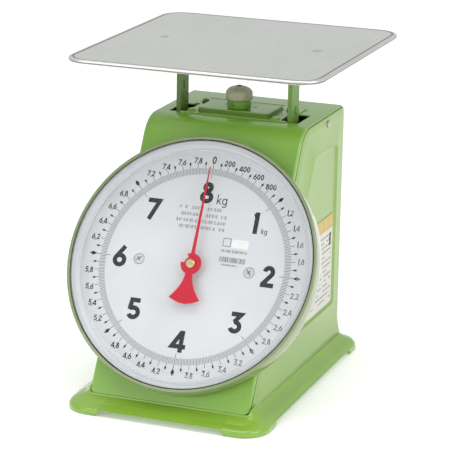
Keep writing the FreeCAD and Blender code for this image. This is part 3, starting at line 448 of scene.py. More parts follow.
def make_base():
    """A pressed base that flares out from the case to four low corner feet."""
    fade = 2.2 * MM
    x_foot = BASE_HIGH.x - FOOT_X
    y_front = BASE_LOW.y + FOOT_Y
    y_back = BASE_HIGH.y - FOOT_Y
    step_x = [0.0, 0.4, 1.0]
    cuts_x = [-x_foot + s * fade for s in step_x] + [-0.03, -0.01, 0.01, 0.03] \
        + [x_foot - s * fade for s in step_x[::-1]]
    cuts_y = [y_front + s * fade for s in step_x] + [-0.06, -0.02, 0.02, 0.05] \
        + [y_back - s * fade for s in step_x[::-1]]
    outside = perimeter(BASE_LOW, BASE_HIGH, 24 * MM, cuts_x, cuts_y)
    case_low = CASE_LOW - Vector((1.1, 0.1, 0)) * MM
    case_high = CASE_HIGH + Vector((1.1, 0.1, 0)) * MM
    inside = perimeter(case_low, case_high, 4 * MM, cuts_x, cuts_y)
    floor = BASE_LOW.z
    deck = CASE_LOW.z

    def side_share(point):
        """1 along the flanks and back, 0 along the front, where the shell's edge overhangs."""
        return clamp((point[1] - case_low.y) / (6 * MM))

    def is_foot(point):
        """1 at a corner foot, 0 where the skirt is lifted between the feet."""
        near_side = clamp((abs(point[0]) - x_foot + fade) / fade)
        near_front = clamp((y_front - point[1] + fade) / fade)
        near_back = clamp((point[1] - y_back + fade) / fade)
        return near_side * max(near_front, near_back)

    # share of the way from the outer edge to the case, and height as a share of the rise
    section = [(1.0, 1.0), (0.965, 0.86), (0.90, 0.72), (0.80, 0.585), (0.66, 0.465), (0.50, 0.375),
               (0.34, 0.30), (0.22, 0.235), (0.13, 0.16), (0.065, 0.07), (0.02, -0.03), (0.0, -0.14)]
    loops = []
    low_step = 4.2 * MM
    for share, rise in section:
        loop = []
        for outer, inner in zip(outside, inside):
            crest = deck - 0.9 * MM + side_share(inner) * 7.2 * MM
            height = floor + low_step + (crest - floor - low_step) * max(rise, 0.0)
            height += min(rise, 0.0) * 12 * MM
            loop.append(Vector((outer[0] + (inner[0] - outer[0]) * share,
                                outer[1] + (inner[1] - outer[1]) * share, height)))
        loops.append(loop)
    gauge = 1.4 * MM
    rim, lip = [], []
    for outer, inner in zip(outside, inside):
        bottom = floor + (1 - is_foot(outer)) * (SKIRT_GAP - floor)
        toward = (Vector(inner) - Vector(outer)).normalized() * gauge
        rim.append(Vector((outer[0], outer[1], bottom)))
        lip.append(Vector((outer[0] + toward.x, outer[1] + toward.y, bottom)))
    last = loops[-1]
    for i, point in enumerate(last):
        point.z = max(point.z, rim[i].z + 0.15 * MM)
    for row in loops[-3:-1]:
        for i, point in enumerate(row):
            point.z = max(point.z, last[i].z + 0.2 * MM)
    loops += [rim, lip]
    roof = []
    for outer, inner in zip(outside, inside):
        roof.append(Vector((outer[0] + (inner[0] - outer[0]) * 0.35,
                            outer[1] + (inner[1] - outer[1]) * 0.35, SKIRT_GAP + 1.0 * MM)))
    top = []
    for inner in inside:
        top.append(Vector((inner[0], inner[1], deck - gauge)))
    loops += [roof, top]
    vertices, faces = skin_loops(loops, False, True)
    count = len(outside)
    deck_start = len(vertices)
    vertices += [Vector((inner[0] - math.copysign(0.9 * MM, inner[0]), inner[1], deck - 0.4 * MM))
                 for inner in inside]
    faces += [(i, (i + 1) % count, deck_start + (i + 1) % count, deck_start + i) for i in range(count)]
    faces.append(tuple(deck_start + i for i in range(count)))
    base = new_piece("base_pressing", vertices, faces, "base_green", "root")
    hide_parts("base")


# ---- case and hanger bridge


def make_case():
    """The wrapped case sheet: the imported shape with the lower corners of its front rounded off."""
    mesh = nodes["case_shell"].data.copy()
    mesh.materials.clear()
    mesh.materials.append(MATERIALS["green"])
    case = bpy.data.objects.new("case_wrap", mesh)
    bpy.context.scene.collection.objects.link(case)
    shape = bmesh.new()
    shape.from_mesh(mesh)
    bmesh.ops.remove_doubles(shape, verts=shape.verts, dist=1e-6)
    bmesh.ops.dissolve_limit(shape, angle_limit=math.radians(0.6), verts=shape.verts, edges=shape.edges)
    shape.to_mesh(mesh)
    shape.free()
    radius = 5.0 * MM
    over = 1.0 * MM
    bottom = -(SPINDLE.z - CASE_LOW.z) / DIAL_UP.z
    for side in (-1, 1):
        edge = CASE_HIGH.x
        corner = [(edge + over, bottom + radius), (edge + over, bottom - over),
                  (edge - radius, bottom - over)]
        corner += arc(edge - radius, bottom + radius, radius, radius, -90, 0, 8)
        cut_away(case, *skin_loops([[DIAL @ Vector((side * x, u, z)) for x, u in corner]
                                    for z in (-4.0 * MM, 1.0 * MM)]))
    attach(case, "root")
    soften(case, 0.5 * MM, 3, 40.0)
    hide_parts("case_shell")


def make_bridge():
    """The pressed plate on the top: a flange notched round the posts, and a raised middle."""
    low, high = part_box("hanger_bridge")
    post_low, post_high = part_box("post_right")
    half, waist = high.x, high.x - 6.0 * MM
    notch_front, notch_back = post_low.y - 0.6 * MM, post_high.y + 14.0 * MM
    right = [(half, low.y), (half, notch_front), (waist, notch_front), (waist, notch_back),
             (half, notch_back), (half, high.y)]
    outline = [(-half, low.y)] + right + [(-x, y) for x, y in reversed(right[1:])]
    sheet = 1.2 * MM
    plate = rounded(outline, 1.0 * MM, 4)
    vertices, faces = skin_loops([[Vector((p.x, p.y, z)) for p in plate] for z in (low.z, low.z + sheet)])
    flange = new_piece("bridge_flange", vertices, faces, "green", "root")
    soften(flange, 0.3 * MM, 3)
    rise = high.z - low.z
    front, back = low.y + 6.0 * MM, low.y + 46.0 * MM
    stages = [  # half width, front and back inset, height
        (34.8, -1.6, -1.6, sheet - 0.1 * MM), (34.2, -1.1, -1.1, sheet + 0.15 * MM),
        (33.4, -0.3, -0.3, rise - 0.7 * MM), (33.1, 0.0, 0.0, rise - 0.25 * MM),
        (32.6, 0.5, 0.5, rise - 0.03 * MM), (30.0, 3.0, 3.0, rise)]
    aside = -1.6 * MM
    loops = []
    for wide, ahead, behind, height in stages:
        x, y_front, y_back = wide * MM, front + ahead * MM, back - behind * MM
        plan = rounded([(-x, y_front), (x, y_front), (x, y_back), (-x, y_back)], 4.0 * MM, 8)
        loops.append([Vector((p.x + aside, p.y, low.z + height)) for p in plan])
    vertices, faces = skin_loops(loops)
    plateau = new_piece("bridge_plateau", vertices, faces, "green", "root")
    # The plateau's side walls take the darker green: painted shade.
    plateau.data.materials.append(MATERIALS["painted_shade_green"])
    walls = 2 * len(loops[0])
    for polygon in plateau.data.polygons:
        if min(polygon.vertices) < walls and len(polygon.vertices) == 4:
            polygon.material_index = 1
    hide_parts("hanger_bridge")
    # Thin dark strips laid on the plateau's top: painted shadow in two slots and in the gap along its back
    # edge.
    dark = [(-15.0, 42.0, 2.2, 0.8, rise), (12.0, 41.0, 2.2, 0.8, rise), (-2.0, 59.0, 36.0, 0.7, rise)]
    for index, (x, y, wide, deep, height) in enumerate(dark):
        face = Vector((x * MM, y * MM, low.z + height))
        corners = [(a * wide * MM, b * deep * MM) for a, b in ((-1, -1), (1, -1), (1, 1), (-1, 1))]
        plan = rounded(corners, 0.55 * MM, 4)
        loops = [[face + Vector((p.x, p.y, z)) for p in plan] for z in (-0.1 * MM, 0.05 * MM)]
        vertices, faces = skin_loops(loops)
        new_piece(f"bridge_shadow_strip_{index + 1}", vertices, faces, "gap", "root", False)


# ---- side panels


def case_inset(inset, top_inset, back_inset, low):
    """The case's side outline in (y, z), drawn in from the front, top and back edges."""
    cosine = DIAL_UP.z
    front = CASE_LOW.y + inset / cosine
    top = CASE_HIGH.z - top_inset
    return [(front + (low - CASE_LOW.z) * FACE_SLOPE, low), (front + (top - CASE_LOW.z) * FACE_SLOPE, top),
            (CASE_HIGH.y - back_inset, top), (CASE_HIGH.y - back_inset, low)]


def recess(margin):
    """The pressed panel's outline in (y, z)."""
    cosine = DIAL_UP.z
    low = CASE_LOW.z + 35 * MM + margin
    top = CASE_LOW.z + 187 * MM - margin
    front = CASE_LOW.y + 53 * MM + margin / cosine
    back = CASE_HIGH.y - 18 * MM - margin * 2.2
    return [(front + (low - CASE_LOW.z) * FACE_SLOPE, low), (front + (top - CASE_LOW.z) * FACE_SLOPE, top),
            (back, top), (back, low)]


def make_side_panel(side):
    """A pressed cover: a rolled border inside the shell's seam and a shallow sunk panel."""
    name = "left" if side < 0 else "right"
    shell = CASE_HIGH.x
    low = CASE_LOW.z + 0.4 * MM
    border = [  # drawn in from the front, the top and the back; corner radii; distance outside the shell
        ((5.6, 2.2, 1.0), (1, 22, 7, 1), -0.9), ((5.6, 2.2, 1.0), (1, 22, 7, 1), -0.1),
        ((5.8, 2.4, 1.1), (1, 21.8, 6.9, 1), 0.25), ((6.3, 2.9, 1.4), (1, 21.4, 6.6, 1), 0.42),
        ((8.5, 4.4, 2.4), (1, 19.5, 6, 1), 0.55), ((11.6, 6.2, 3.4), (1, 18, 5, 1), 0.80),
        ((12.8, 7.2, 4.0), (1, 17, 4.4, 1), 0.96), ((14.2, 8.4, 5.0), (1, 16, 4, 1), 1.0)]
    stages = [(case_inset(*(inset * MM for inset in insets), low), radii, out)
              for insets, radii, out in border]
    stages += [
        (recess(-0.9 * MM), 5.6, 1.0),
        (recess(-0.5 * MM), 5.3, 1.12),
        (recess(0.0 * MM), 5.0, 0.9),
        (recess(1.1 * MM), 4.2, -0.5),
        (recess(1.8 * MM), 3.7, -0.7),
        (recess(4.0 * MM), 3.0, -0.7)]
    loops = []
    for outline, radii, out in stages:
        sizes = [r * MM for r in radii] if isinstance(radii, tuple) else radii * MM
        loops.append([Vector((side * (shell + out * MM), p.x, p.y)) for p in rounded(outline, sizes, 7)])
    vertices, faces = skin_loops(loops)
    panel = new_piece("side_panel_" + name, vertices, faces, "side_green", "root")
    flare_panel(panel, side)
    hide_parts("side_cover_" + name)
    # A thin dark strip along the seam between shell and cover: painted shadow in the gap.
    seam = [((4.9, 1.6, 0.5), (1, 22.6, 7.4, 1)), ((5.75, 2.35, 1.1), (1, 22, 7, 1))]
    edges = [rounded(case_inset(*(inset * MM for inset in insets), low), [r * MM for r in radii], 7)
             for insets, radii in seam]
    count = len(edges[0])
    vertices = [Vector((side * (shell + out * MM), p.x, p.y))
                for out in (-0.3, 0.06) for edge in edges for p in edge]
    faces = []
    for i in range(count - 1):
        low_a, low_b, top_a, top_b = i, count + i, 2 * count + i, 3 * count + i
        faces += [(top_a, top_a + 1, top_b + 1, top_b), (low_a, low_b, low_b + 1, low_a + 1),
                  (low_a, low_a + 1, top_a + 1, top_a), (low_b, top_b, top_b + 1, low_b + 1)]
    ends = (0, count - 1)
    faces += [(i, 2 * count + i, 3 * count + i, count + i) for i in ends]
    new_piece("side_seam_shadow_" + name, vertices, faces, "gap", "root", False)


FLARE_TOP = 22 * MM
FLARE = 3.2 * MM


def flare_panel(panel, side):
    """Turns the panel's lowest strip outwards to meet the base."""
    mesh = bmesh.new()
    mesh.from_mesh(panel.data)
    start = CASE_LOW.z + FLARE_TOP
    for cut in (0.0, 0.2, 0.4, 0.6, 0.8, 1.0):
        height = start - cut * FLARE_TOP * 0.72
        bmesh.ops.bisect_plane(mesh, geom=mesh.verts[:] + mesh.edges[:] + mesh.faces[:],
                               plane_co=(0, 0, height), plane_no=(0, 0, 1))
    for vertex in mesh.verts:
        share = max(start - vertex.co.z, 0.0) / FLARE_TOP
        forward = min(max((vertex.co.y - CASE_LOW.y - 6 * MM) / (26 * MM), 0.0), 1.0)
        vertex.co.x += side * FLARE * share ** 2.2 * forward
    mesh.to_mesh(panel.data)
    mesh.free()


# ---- dial print


class Print:
    """Collects flat inked shapes as thin closed prisms on the dial."""

    def __init__(self, level, thickness=0.04 * MM):
        self.level = level
        self.thickness = thickness
        self.vertices = []
        self.faces = []

    def strip(self, left, right, closed=False):
        """A prism between two lines of points, given in (x, up) on the dial."""
        start = len(self.vertices)
        count = len(left)
        for height in (self.level, self.level + self.thickness):
            for line in (left, right):
                self.vertices += [DIAL @ Vector((p[0], p[1], height)) for p in line]
        low_l, low_r, top_l, top_r = (start + k * count for k in range(4))
        for i in range(count if closed else count - 1):
            j = (i + 1) % count
            self.faces += [(top_l + i, top_l + j, top_r + j, top_r + i),
                           (low_l + j, low_l + i, low_r + i, low_r + j),
                           (low_l + i, low_l + j, top_l + j, top_l + i),
                           (low_r + j, low_r + i, top_r + i, top_r + j)]
        if not closed:
            self.faces += [(low_l, top_l, top_r, low_r)]
            end = count - 1
            self.faces += [(low_l + end, low_r + end, top_r + end, top_l + end)]

    def line(self, points, width, closed=False):
        """A stroke of even width along a line of points, with mitred turns."""
        path = [Vector(p) for p in points]
        count = len(path)
        left, right = [], []
        for i, point in enumerate(path):
            if closed:
                before, after = point - path[i - 1], path[(i + 1) % count] - point
            else:
                before = point - path[i - 1] if i > 0 else path[1] - point
                after = path[i + 1] - point if i < count - 1 else before
            before, after = before.normalized(), after.normalized()
            along = (before + after).normalized()
            across = Vector((-along.y, along.x))
            lean = max(across.dot(Vector((-before.y, before.x))), 0.35)
            left.append(point + across * (width / 2 / lean))
            right.append(point - across * (width / 2 / lean))
        self.strip(left, right, closed)

    def radial(self, turn, inner, outer, width):
        """A tick that points away from the dial's centre, at an angle clockwise from the top."""
        along = Vector((math.sin(turn), math.cos(turn)))
        self.line([along * inner, along * outer], width)

    def diamond(self, turn, inner, outer, width):
        along = Vector((math.sin(turn), math.cos(turn)))
        across = Vector((along.y, -along.x)) * (width / 2)
        middle = along * ((inner + outer) / 2)
        sliver = across * 0.02
        self.strip([along * inner + sliver, middle + across, along * outer + sliver],
                   [along * inner - sliver, middle - across, along * outer - sliver])

    def make(self, name, material):
        return new_piece(name, self.vertices, self.faces, material, "root", False)


def arc(x, y, rx, ry, start, end, steps=16):
    """Points of an arc, with angles in degrees, anticlockwise from the right."""
    turns = [math.radians(start + (end - start) * i / steps) for i in range(steps + 1)]
    return [(x + rx * math.cos(t), y + ry * math.sin(t)) for t in turns]


def glyphs(weight):
    """Figures and two letters as strokes in a box one unit high; weight is the stroke's width."""
    h = weight / 2
    top, low = 1 - h, h
    bowl = 0.33 - h
    ring6 = arc(0, 0.325, bowl, 0.325 - h, 0, 360, 28)[:-1]
    return {
        "0": [(arc(0, 0.5, 0.30 - h, 0.5 - h, 0, 360, 32)[:-1], True)],
        "1": [([(0.07, 0), (0.07, 1.0)], False), ([(0.07, top - 0.03), (-0.07, 0.81)], False)],
        "2": [(arc(0, 0.70, 0.29 - h, 0.30 - h, 175, -28, 16) + [(-0.24, low)], False),
              ([(-0.31, low), (0.31, low)], False)],
        "3": [([(-0.25, top), (0.21, top), (-0.02, 0.60)]
               + arc(-0.01, 0.325, bowl - 0.01, 0.31 - h, 82, -160, 18), False)],
        "4": [([(0.10, 1 - h * 0.4), (-0.29, 0.30 - h * 0.3), (0.36, 0.30 - h * 0.3)], False),
              ([(0.13, 0), (0.13, 1)], False)],
        "5": [([(0.25, top), (-0.15, top), (-0.19, 0.545)]
               + arc(0.0, 0.325, bowl, 0.325 - h, 118, -155, 18), False)],
        "6": [(ring6, True), ([(0.17, 1 - h * 0.2), (-0.225 + h * 0.3, 0.44)], False)],
        "7": [([(-0.30, top), (0.25, top), (-0.13, 0)], False)],
        "8": [(arc(0, 0.745, 0.25 - h, 0.255 - h, 0, 360, 24)[:-1], True),
              (arc(0, 0.29, 0.32 - h, 0.29 - h, 0, 360, 28)[:-1], True)],
        ",": [([(0.03, 0.10), (-0.05, -0.12)], False)],
        "k": [([(-0.17, 0), (-0.17, 1.0)], False), ([(0.20, 0.62), (-0.15, 0.26)], False),
              ([(-0.06, 0.36), (0.23, 0)], False)],
        "g": [(arc(0, 0.33, 0.27 - h, 0.33 - h, 0, 360, 24)[:-1], True),
              ([(0.27 - h, 0.66), (0.27 - h, -0.05)]
               + arc(0.0, -0.05, 0.27 - h, 0.24 - h, 0, -150, 10)[1:], False)],
    }


WIDTHS = {"1": 0.42, ",": 0.22, "k": 0.56, "g": 0.66}


def write(target, text, x, y, height, weight, squeeze=1.0):
    """Draws a short row of figures, centred on a point of the dial."""
    shapes = glyphs(weight)
    widths = [WIDTHS.get(letter, 0.70) * squeeze for letter in text]
    pen = x - sum(widths) * height / 2
    for letter, width in zip(text, widths):
        middle = pen + width * height / 2
        for index, (path, closed) in enumerate(shapes[letter]):
            points = [(middle + px * height * squeeze, y + (py - 0.5) * height) for px, py in path]
            target.level += 0.004 * MM * index
            target.line(points, weight * height, closed)
            target.level -= 0.004 * MM * index
        pen += width * height


KILOS = 8
FINE_TICKS = 400


def make_dial_print():
    level = DIAL_TOP - 0.01 * MM
    fine = Print(level)
    bold = Print(level)
    for tick in range(FINE_TICKS):
        fine.radial(2 * math.pi * tick / FINE_TICKS, 81.9 * MM, 87.6 * MM, 0.42 * MM)
    for tenth in range(KILOS * 10):
        turn = 2 * math.pi * tenth / (KILOS * 10)
        if tenth % 10 == 0:
            bold.radial(turn, 78.3 * MM, 91.6 * MM, 0.45 * MM)
            if tenth:
                bold.diamond(turn, 91.0 * MM, 97.9 * MM, 3.5 * MM)
        elif tenth % 2:
            bold.radial(turn, 81.9 * MM, 90.8 * MM, 0.40 * MM)
            bold.diamond(turn, 89.6 * MM, 93.6 * MM, 2.0 * MM)
        else:
            bold.radial(turn, 81.9 * MM, 91.4 * MM, 0.40 * MM)
            text = str(tenth * 100) if tenth < 10 else f"{tenth // 10},{tenth % 10}"
            radius = (96.4 - 1.9 * max(math.cos(turn), 0.0) ** 2) * MM
            write(bold, text, radius * math.sin(turn), radius * math.cos(turn), 5.1 * MM, 0.175, 0.95)
    write(bold, "0", 0.0, 95.2 * MM, 6.8 * MM, 0.16, 0.9)
    fine.make("fine_ticks", "grey_ink")
    bold.make("scale_marks", "ink")
    numerals = Print(level)
    for text, x, y in (("8", -0.6, 65.6), ("1", 47.6, 43.9), ("2", 68.6, -1.2), ("3", 47.6, -44.6),
                       ("4", 0.1, -67.2), ("5", -46.5, -44.2), ("6", -69.0, 0.3), ("7", -47.4, 45.7)):
        write(numerals, text, x * MM, y * MM, 19.2 * MM, 0.21)
    write(numerals, "kg", 14.2 * MM, 60.8 * MM, 8.8 * MM, 0.10, 0.97)
    write(numerals, "kg", 57.4 * MM, 37.6 * MM, 5.0 * MM, 0.12, 0.97)
    numerals.make("dial_numerals", "ink")
    make_dial_notes(level)


def greek_block(target, dice, x, y, width, height):
    """A small unreadable block: a few bars and a post, in the place of a printed character."""
    bars = dice.choice((2, 3, 3))
    for bar in range(bars):
        level = y - height / 2 + height * (bar + 0.5) / bars
        start = x + width * dice.choice((0.0, 0.0, 0.3))
        end = x + width * dice.choice((1.0, 1.0, 0.7))
        target.line([(start * MM, level * MM), (end * MM, level * MM)], 0.42 * MM)
    post = x + width * dice.choice((0.1, 0.5, 0.85))
    target.line([(post * MM, (y - height / 2) * MM), (post * MM, (y + height / 2) * MM)], 0.45 * MM)


def make_dial_notes(level):
    """Blank stand-ins for the small print: rows of grey blocks, a seal box and a bar pattern."""
    dice = random.Random(7)
    notes = Print(level, 0.03 * MM)
    rows = [(-24.0, 21.0, 51.2), (-24.5, 23.5, 45.2), (-24.5, 23.0, 39.6), (-24.5, 22.5, 34.0)]
    for start, end, y in rows:
        x = start
        while x < end - 2.4:
            if dice.random() > 0.12:
                greek_block(notes, dice, x, y, 2.3, 3.0)
            x += 2.9
    x = 22.0
    while x < 45.5:
        width = dice.choice((0.35, 0.6, 0.95))
        notes.line([((x + width / 2) * MM, 6.6 * MM), ((x + width / 2) * MM, 11.2 * MM)], width * MM)
        x += width + dice.choice((0.4, 0.6))
    for start, count, y, size in ((21.4, 10, 16.4, 2.0), (24.5, 9, 4.2, 1.3)):
        for index in range(count):
            greek_block(notes, dice, start + index * size * 1.24, y, size, size * 1.2)
    notes.make("dial_small_print", "pale_ink")
    seal = Print(level, 0.03 * MM)
    seal.line(scaled([(22.6, 20.6), (29.4, 20.6), (29.4, 27.4), (22.6, 27.4)]), 0.5 * MM, True)
    seal.make("dial_seal_box", "grey_ink")
    plate = Print(level, 0.08 * MM)
    plate.line(scaled([(30.6, 23.6), (45.8, 23.6)]), 7.4 * MM)
    plate.make("dial_seal_plate", "patch")


# ---- dial parts


def make_dial_screws():
    """Round heads with a straight slot, painted over with the dial."""
    head = scaled([(0.0, -0.6), (4.4, -0.6), (4.4, 0.35), (4.25, 0.75), (3.7, 1.15), (2.6, 1.42),
                   (1.2, 1.5), (0.0, 1.5)])
    for name, x, lean in (("left", -51.0, 40.0), ("right", 51.0, -52.0)):
        place = DIAL @ Matrix.Translation((x * MM, 0, DIAL_TOP))
        screw = lathe("dial_screw_" + name, head, "screw_white", "root", place, 48)
        slot_place = place @ Matrix.Rotation(math.radians(lean), 4, "Z")
        for turn, length in ((0.0, 6.4 * MM), (math.pi / 2, 4.4 * MM)):
            cut_slot(screw, slot_place @ Matrix.Rotation(turn, 4, "Z"), length, 0.9 * MM, 0.7 * MM)
        # A dark ring on the dial round the head: painted shade at the head's edge.
        marks = Print(DIAL_TOP, 0.05 * MM)
        marks.line(arc(x * MM, 0.0, 4.75 * MM, 4.75 * MM, 0, 360, 40)[:-1], 0.35 * MM, True)
        # Dark bars at the bottom of the slots: painted shade in the slots.
        marks.level = DIAL_TOP + 0.66 * MM
        marks.thickness = 0.16 * MM
        tilt = math.radians(lean)
        for turn, length in ((tilt, 3.0 * MM), (tilt + math.pi / 2, 2.0 * MM)):
            run = Vector((math.cos(turn), math.sin(turn))) * length
            middle = Vector((x * MM, 0.0))
            marks.line([middle - run, middle + run], 0.8 * MM)
        marks.make("dial_screw_shade_marks_" + name, "pale_ink")
    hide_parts("dial_screws")


def cut_slot(piece, place, length, width, low):
    """Cuts a straight slot into a screw's head."""
    x, y = length / 2, width / 2
    corners = [(-x, -y), (x, -y), (x, y), (-x, y)]
    loops = [[place @ Vector((a, b, z)) for a, b in corners] for z in (low, low + 2 * MM)]
    cut_away(piece, *skin_loops(loops))


def cut_away(piece, vertices, faces):
    """Takes a closed shape away from a piece, and shades what is left by its angles."""
    tool = new_piece("cutter", vertices, faces, "dark", None, False)
    cut = piece.modifiers.new("cut", "BOOLEAN")
    cut.object = tool
    cut.operation = "DIFFERENCE"
    cut.solver = "EXACT"
    bpy.context.view_layer.update()
    graph = bpy.context.evaluated_depsgraph_get()
    mesh = bpy.data.meshes.new_from_object(piece.evaluated_get(graph))
    piece.modifiers.clear()
    piece.data = mesh
    mesh.shade_smooth()
    mesh.set_sharp_from_angle(angle=math.radians(35))
    bpy.data.objects.remove(tool)


def make_bezel():
    """The rolled steel rim, with a lap joint near the top, and a black ring inside it, painted shadow in
    the gap between rim and cover.
    """
    edge = BEZEL_RADIUS
    top = BEZEL_TOP
    lip = 3.0 * MM
    profile = [(edge - 1.0 * MM, 0.4 * MM), (edge - 0.15 * MM, 0.4 * MM), (edge, 0.8 * MM)]
    profile += [(edge, 0.4 * top), (edge, top - 2.0 * MM)]
    for step in range(1, 9):
        turn = math.pi * step / 8
        radius = edge - lip / 2 + lip / 2 * math.cos(turn)
        profile.append((radius, top - 1.5 * MM + 1.5 * MM * math.sin(turn)))
    profile += [(edge - lip, top - 2.6 * MM), (edge - lip + 0.6 * MM, top - 2.6 * MM),
                (edge - 1.0 * MM, top - 3.0 * MM)]
    rim = ring_lathe("bezel_rim", profile, "rim_green", "root", DIAL, 192)
    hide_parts("bezel_ring")
    inner = edge - lip - 0.75 * MM
    # A black ring inside the rim: painted shadow in the gap between rim and cover.
    rim_shadow_ring = [(inner, top - 4.4 * MM), (edge - 1.2 * MM, top - 4.4 * MM), (edge - 1.2 * MM, top - 2.7 * MM),
              (edge - lip - 0.05 * MM, top - 2.7 * MM), (edge - lip - 0.05 * MM, top - 1.3 * MM),
              (inner, top - 1.3 * MM)]
    ring_lathe("bezel_gap_shade", rim_shadow_ring, "rim_shadow_ring", "root", DIAL, 160)
    make_lap(edge, top, lip / 2)
    return inner


def make_lap(edge, top, roll):
    """The overlapping end of the rolled rim, a little way clockwise of the zero mark."""
    middle, half = math.radians(76), math.radians(0.8)
    skin = [((edge, 0.8 * MM), (1, 0)), ((edge, top - 2 * roll), (1, 0))]
    for step in range(9):
        away = (math.cos(math.pi * step / 8), math.sin(math.pi * step / 8))
        skin.append(((edge - roll + roll * away[0], top - roll + roll * away[1]), away))
    proud = [(r + a * 0.25 * MM, h + b * 0.25 * MM) for (r, h), (a, b) in skin]
    sunk = [(r - a * 0.1 * MM, h - b * 0.1 * MM) for (r, h), (a, b) in reversed(skin)]
    loops = [[DIAL @ Vector((r * math.cos(turn), r * math.sin(turn), h)) for r, h in proud + sunk]
             for turn in (middle - half, middle + half)]
    vertices, faces = skin_loops(loops)
    new_piece("bezel_lap", vertices, faces, "rim_green", "root", False)


def make_surround(inner):
    """The dial case: a white wall round the dial plate in front, and a green dish behind."""
    start = (104.0 * MM, DIAL_TOP + 0.02 * MM)
    profile = [start, (106.0 * MM, DIAL_TOP + 0.1 * MM), (107.6 * MM, DIAL_TOP + 0.7 * MM),
               (108.6 * MM, DIAL_TOP + 2.2 * MM), (inner - 0.5 * MM, DIAL_TOP + 4.6 * MM),
               (inner - 0.15 * MM, BEZEL_TOP - 3.2 * MM)]
    behind = [(r + 0.3 * MM, h - 0.1 * MM) for r, h in reversed(profile[1:])]
    behind.append((104.2 * MM, DIAL_TOP - 0.02 * MM))
    ring = ring_lathe("dial_surround", profile + behind, "dial", "root", DIAL, 160)
    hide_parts("dial_case")
    wall = BEZEL_RADIUS - 1.1 * MM
    dish = [(9.0 * MM, 0.15 * MM), (wall - 1.5 * MM, 0.15 * MM), (wall, 1.6 * MM), (wall, 9.0 * MM),
            (wall - 1.0 * MM, 9.0 * MM), (wall - 1.0 * MM, 2.0 * MM), (wall - 2.3 * MM, 1.1 * MM),
            (9.0 * MM, 1.1 * MM)]
    ring_lathe("dial_back", dish, "green", "root", DIAL, 160)


def make_cover(inner):
    """The clear cover: a nearly flat window and a curved rim that gathers the light."""
    top = COVER_TOP
    shelf = BEZEL_TOP - 1.4 * MM
    rim = [(inner - 0.05 * MM, shelf)]
    width = 11.0 * MM
    for step in range(1, 17):
        turn = math.pi / 2 * step / 16
        rim.append((inner - 0.05 * MM - width * (1 - math.cos(turn)) ** 1.05,
                    shelf + (top - 0.7 * MM - shelf) * math.sin(turn) ** 0.8))
    back = [(r - 0.5 * MM, h - 1.3 * MM) for r, h in reversed(rim)]
    profile = rim + back
    # The shoulder's grey tint and the steep wall's darker, more opaque grey: painted reflection of the
    # curved plastic.
    ring = ring_lathe("cover_rim", profile, "rim_clear", "root", DIAL, 160)
    ring.data.materials.append(MATERIALS["wall_clear"])
    wall_rows = 10
    for polygon in ring.data.polygons:
        if min(index % len(profile) for index in polygon.vertices) < wall_rows:
            polygon.material_index = 1
    edge = rim[-1]
    window = [(edge[0], edge[1]), (edge[0] * 0.8, top - 0.35 * MM), (edge[0] * 0.5, top - 0.1 * MM),
              (edge[0] * 0.2, top), (0.0, top)]
    lathe("cover_window", window, "window", "root", DIAL, 96)
    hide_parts("dial_cover")


def make_pointer():
    """A flat pressed pointer: a long needle, an open ring round the hub and a bell-shaped tail."""
    reach, tail = 87.3, -35.5
    gauge = 0.6 * MM
    top = POINTER_TOP
    needle = [(0.42, reach), (0.75, reach * 0.82), (1.08, reach * 0.55), (1.5, reach * 0.2), (1.75, 8.9)]
    flank = []
    for step in range(11):
        share = step / 10
        flank.append((3.3 + 10.9 * share ** 1.75, -8.5 - 22.7 * share ** 0.92))
    foot = []
    for step in range(1, 8):
        share = step / 8
        foot.append((14.2 * (1 - share), -31.3 + (tail + 31.3) * math.sin(math.pi / 2 * share)))
    tail_side = flank + foot
    outline = tail_side + [(0.0, tail)] + [(-x, y) for x, y in reversed(tail_side)]
    prints = Print(top - gauge, gauge)
    left = [(-x * MM, y * MM) for x, y in needle]
    right = [(x * MM, y * MM) for x, y in needle]
    prints.strip(left, right)
    needle_piece = new_piece("pointer_needle", prints.vertices, prints.faces, "red", "pointer_assembly",
                             False)
    count = len(outline)
    vertices = [DIAL @ Vector((x * MM, y * MM, z)) for z in (top - gauge, top) for x, y in outline]
    faces = [tuple(range(count)), tuple(range(2 * count - 1, count - 1, -1))]
    faces += [(i, (i + 1) % count, count + (i + 1) % count, count + i) for i in range(count)]
    tail_piece = new_piece("pointer_tail", vertices, faces, "red", "pointer_assembly", False)
    gap = math.radians(27)
    start = math.radians(148)
    ring = Print(top - gauge, gauge + 0.02 * MM)
    turns = [start + gap + (2 * math.pi - 2 * gap) * i / 64 for i in range(65)]
    ring.strip([(9.4 * MM * math.cos(t), 9.4 * MM * math.sin(t)) for t in turns],
               [(4.3 * MM * math.cos(t), 4.3 * MM * math.sin(t)) for t in turns])
    ring_piece = new_piece("pointer_ring", ring.vertices, ring.faces, "red", "pointer_assembly",
                           False)
    for piece in (needle_piece, tail_piece, ring_piece):
        soften(piece, 0.12 * MM, 2)
    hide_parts("pointer")


# ---- knob


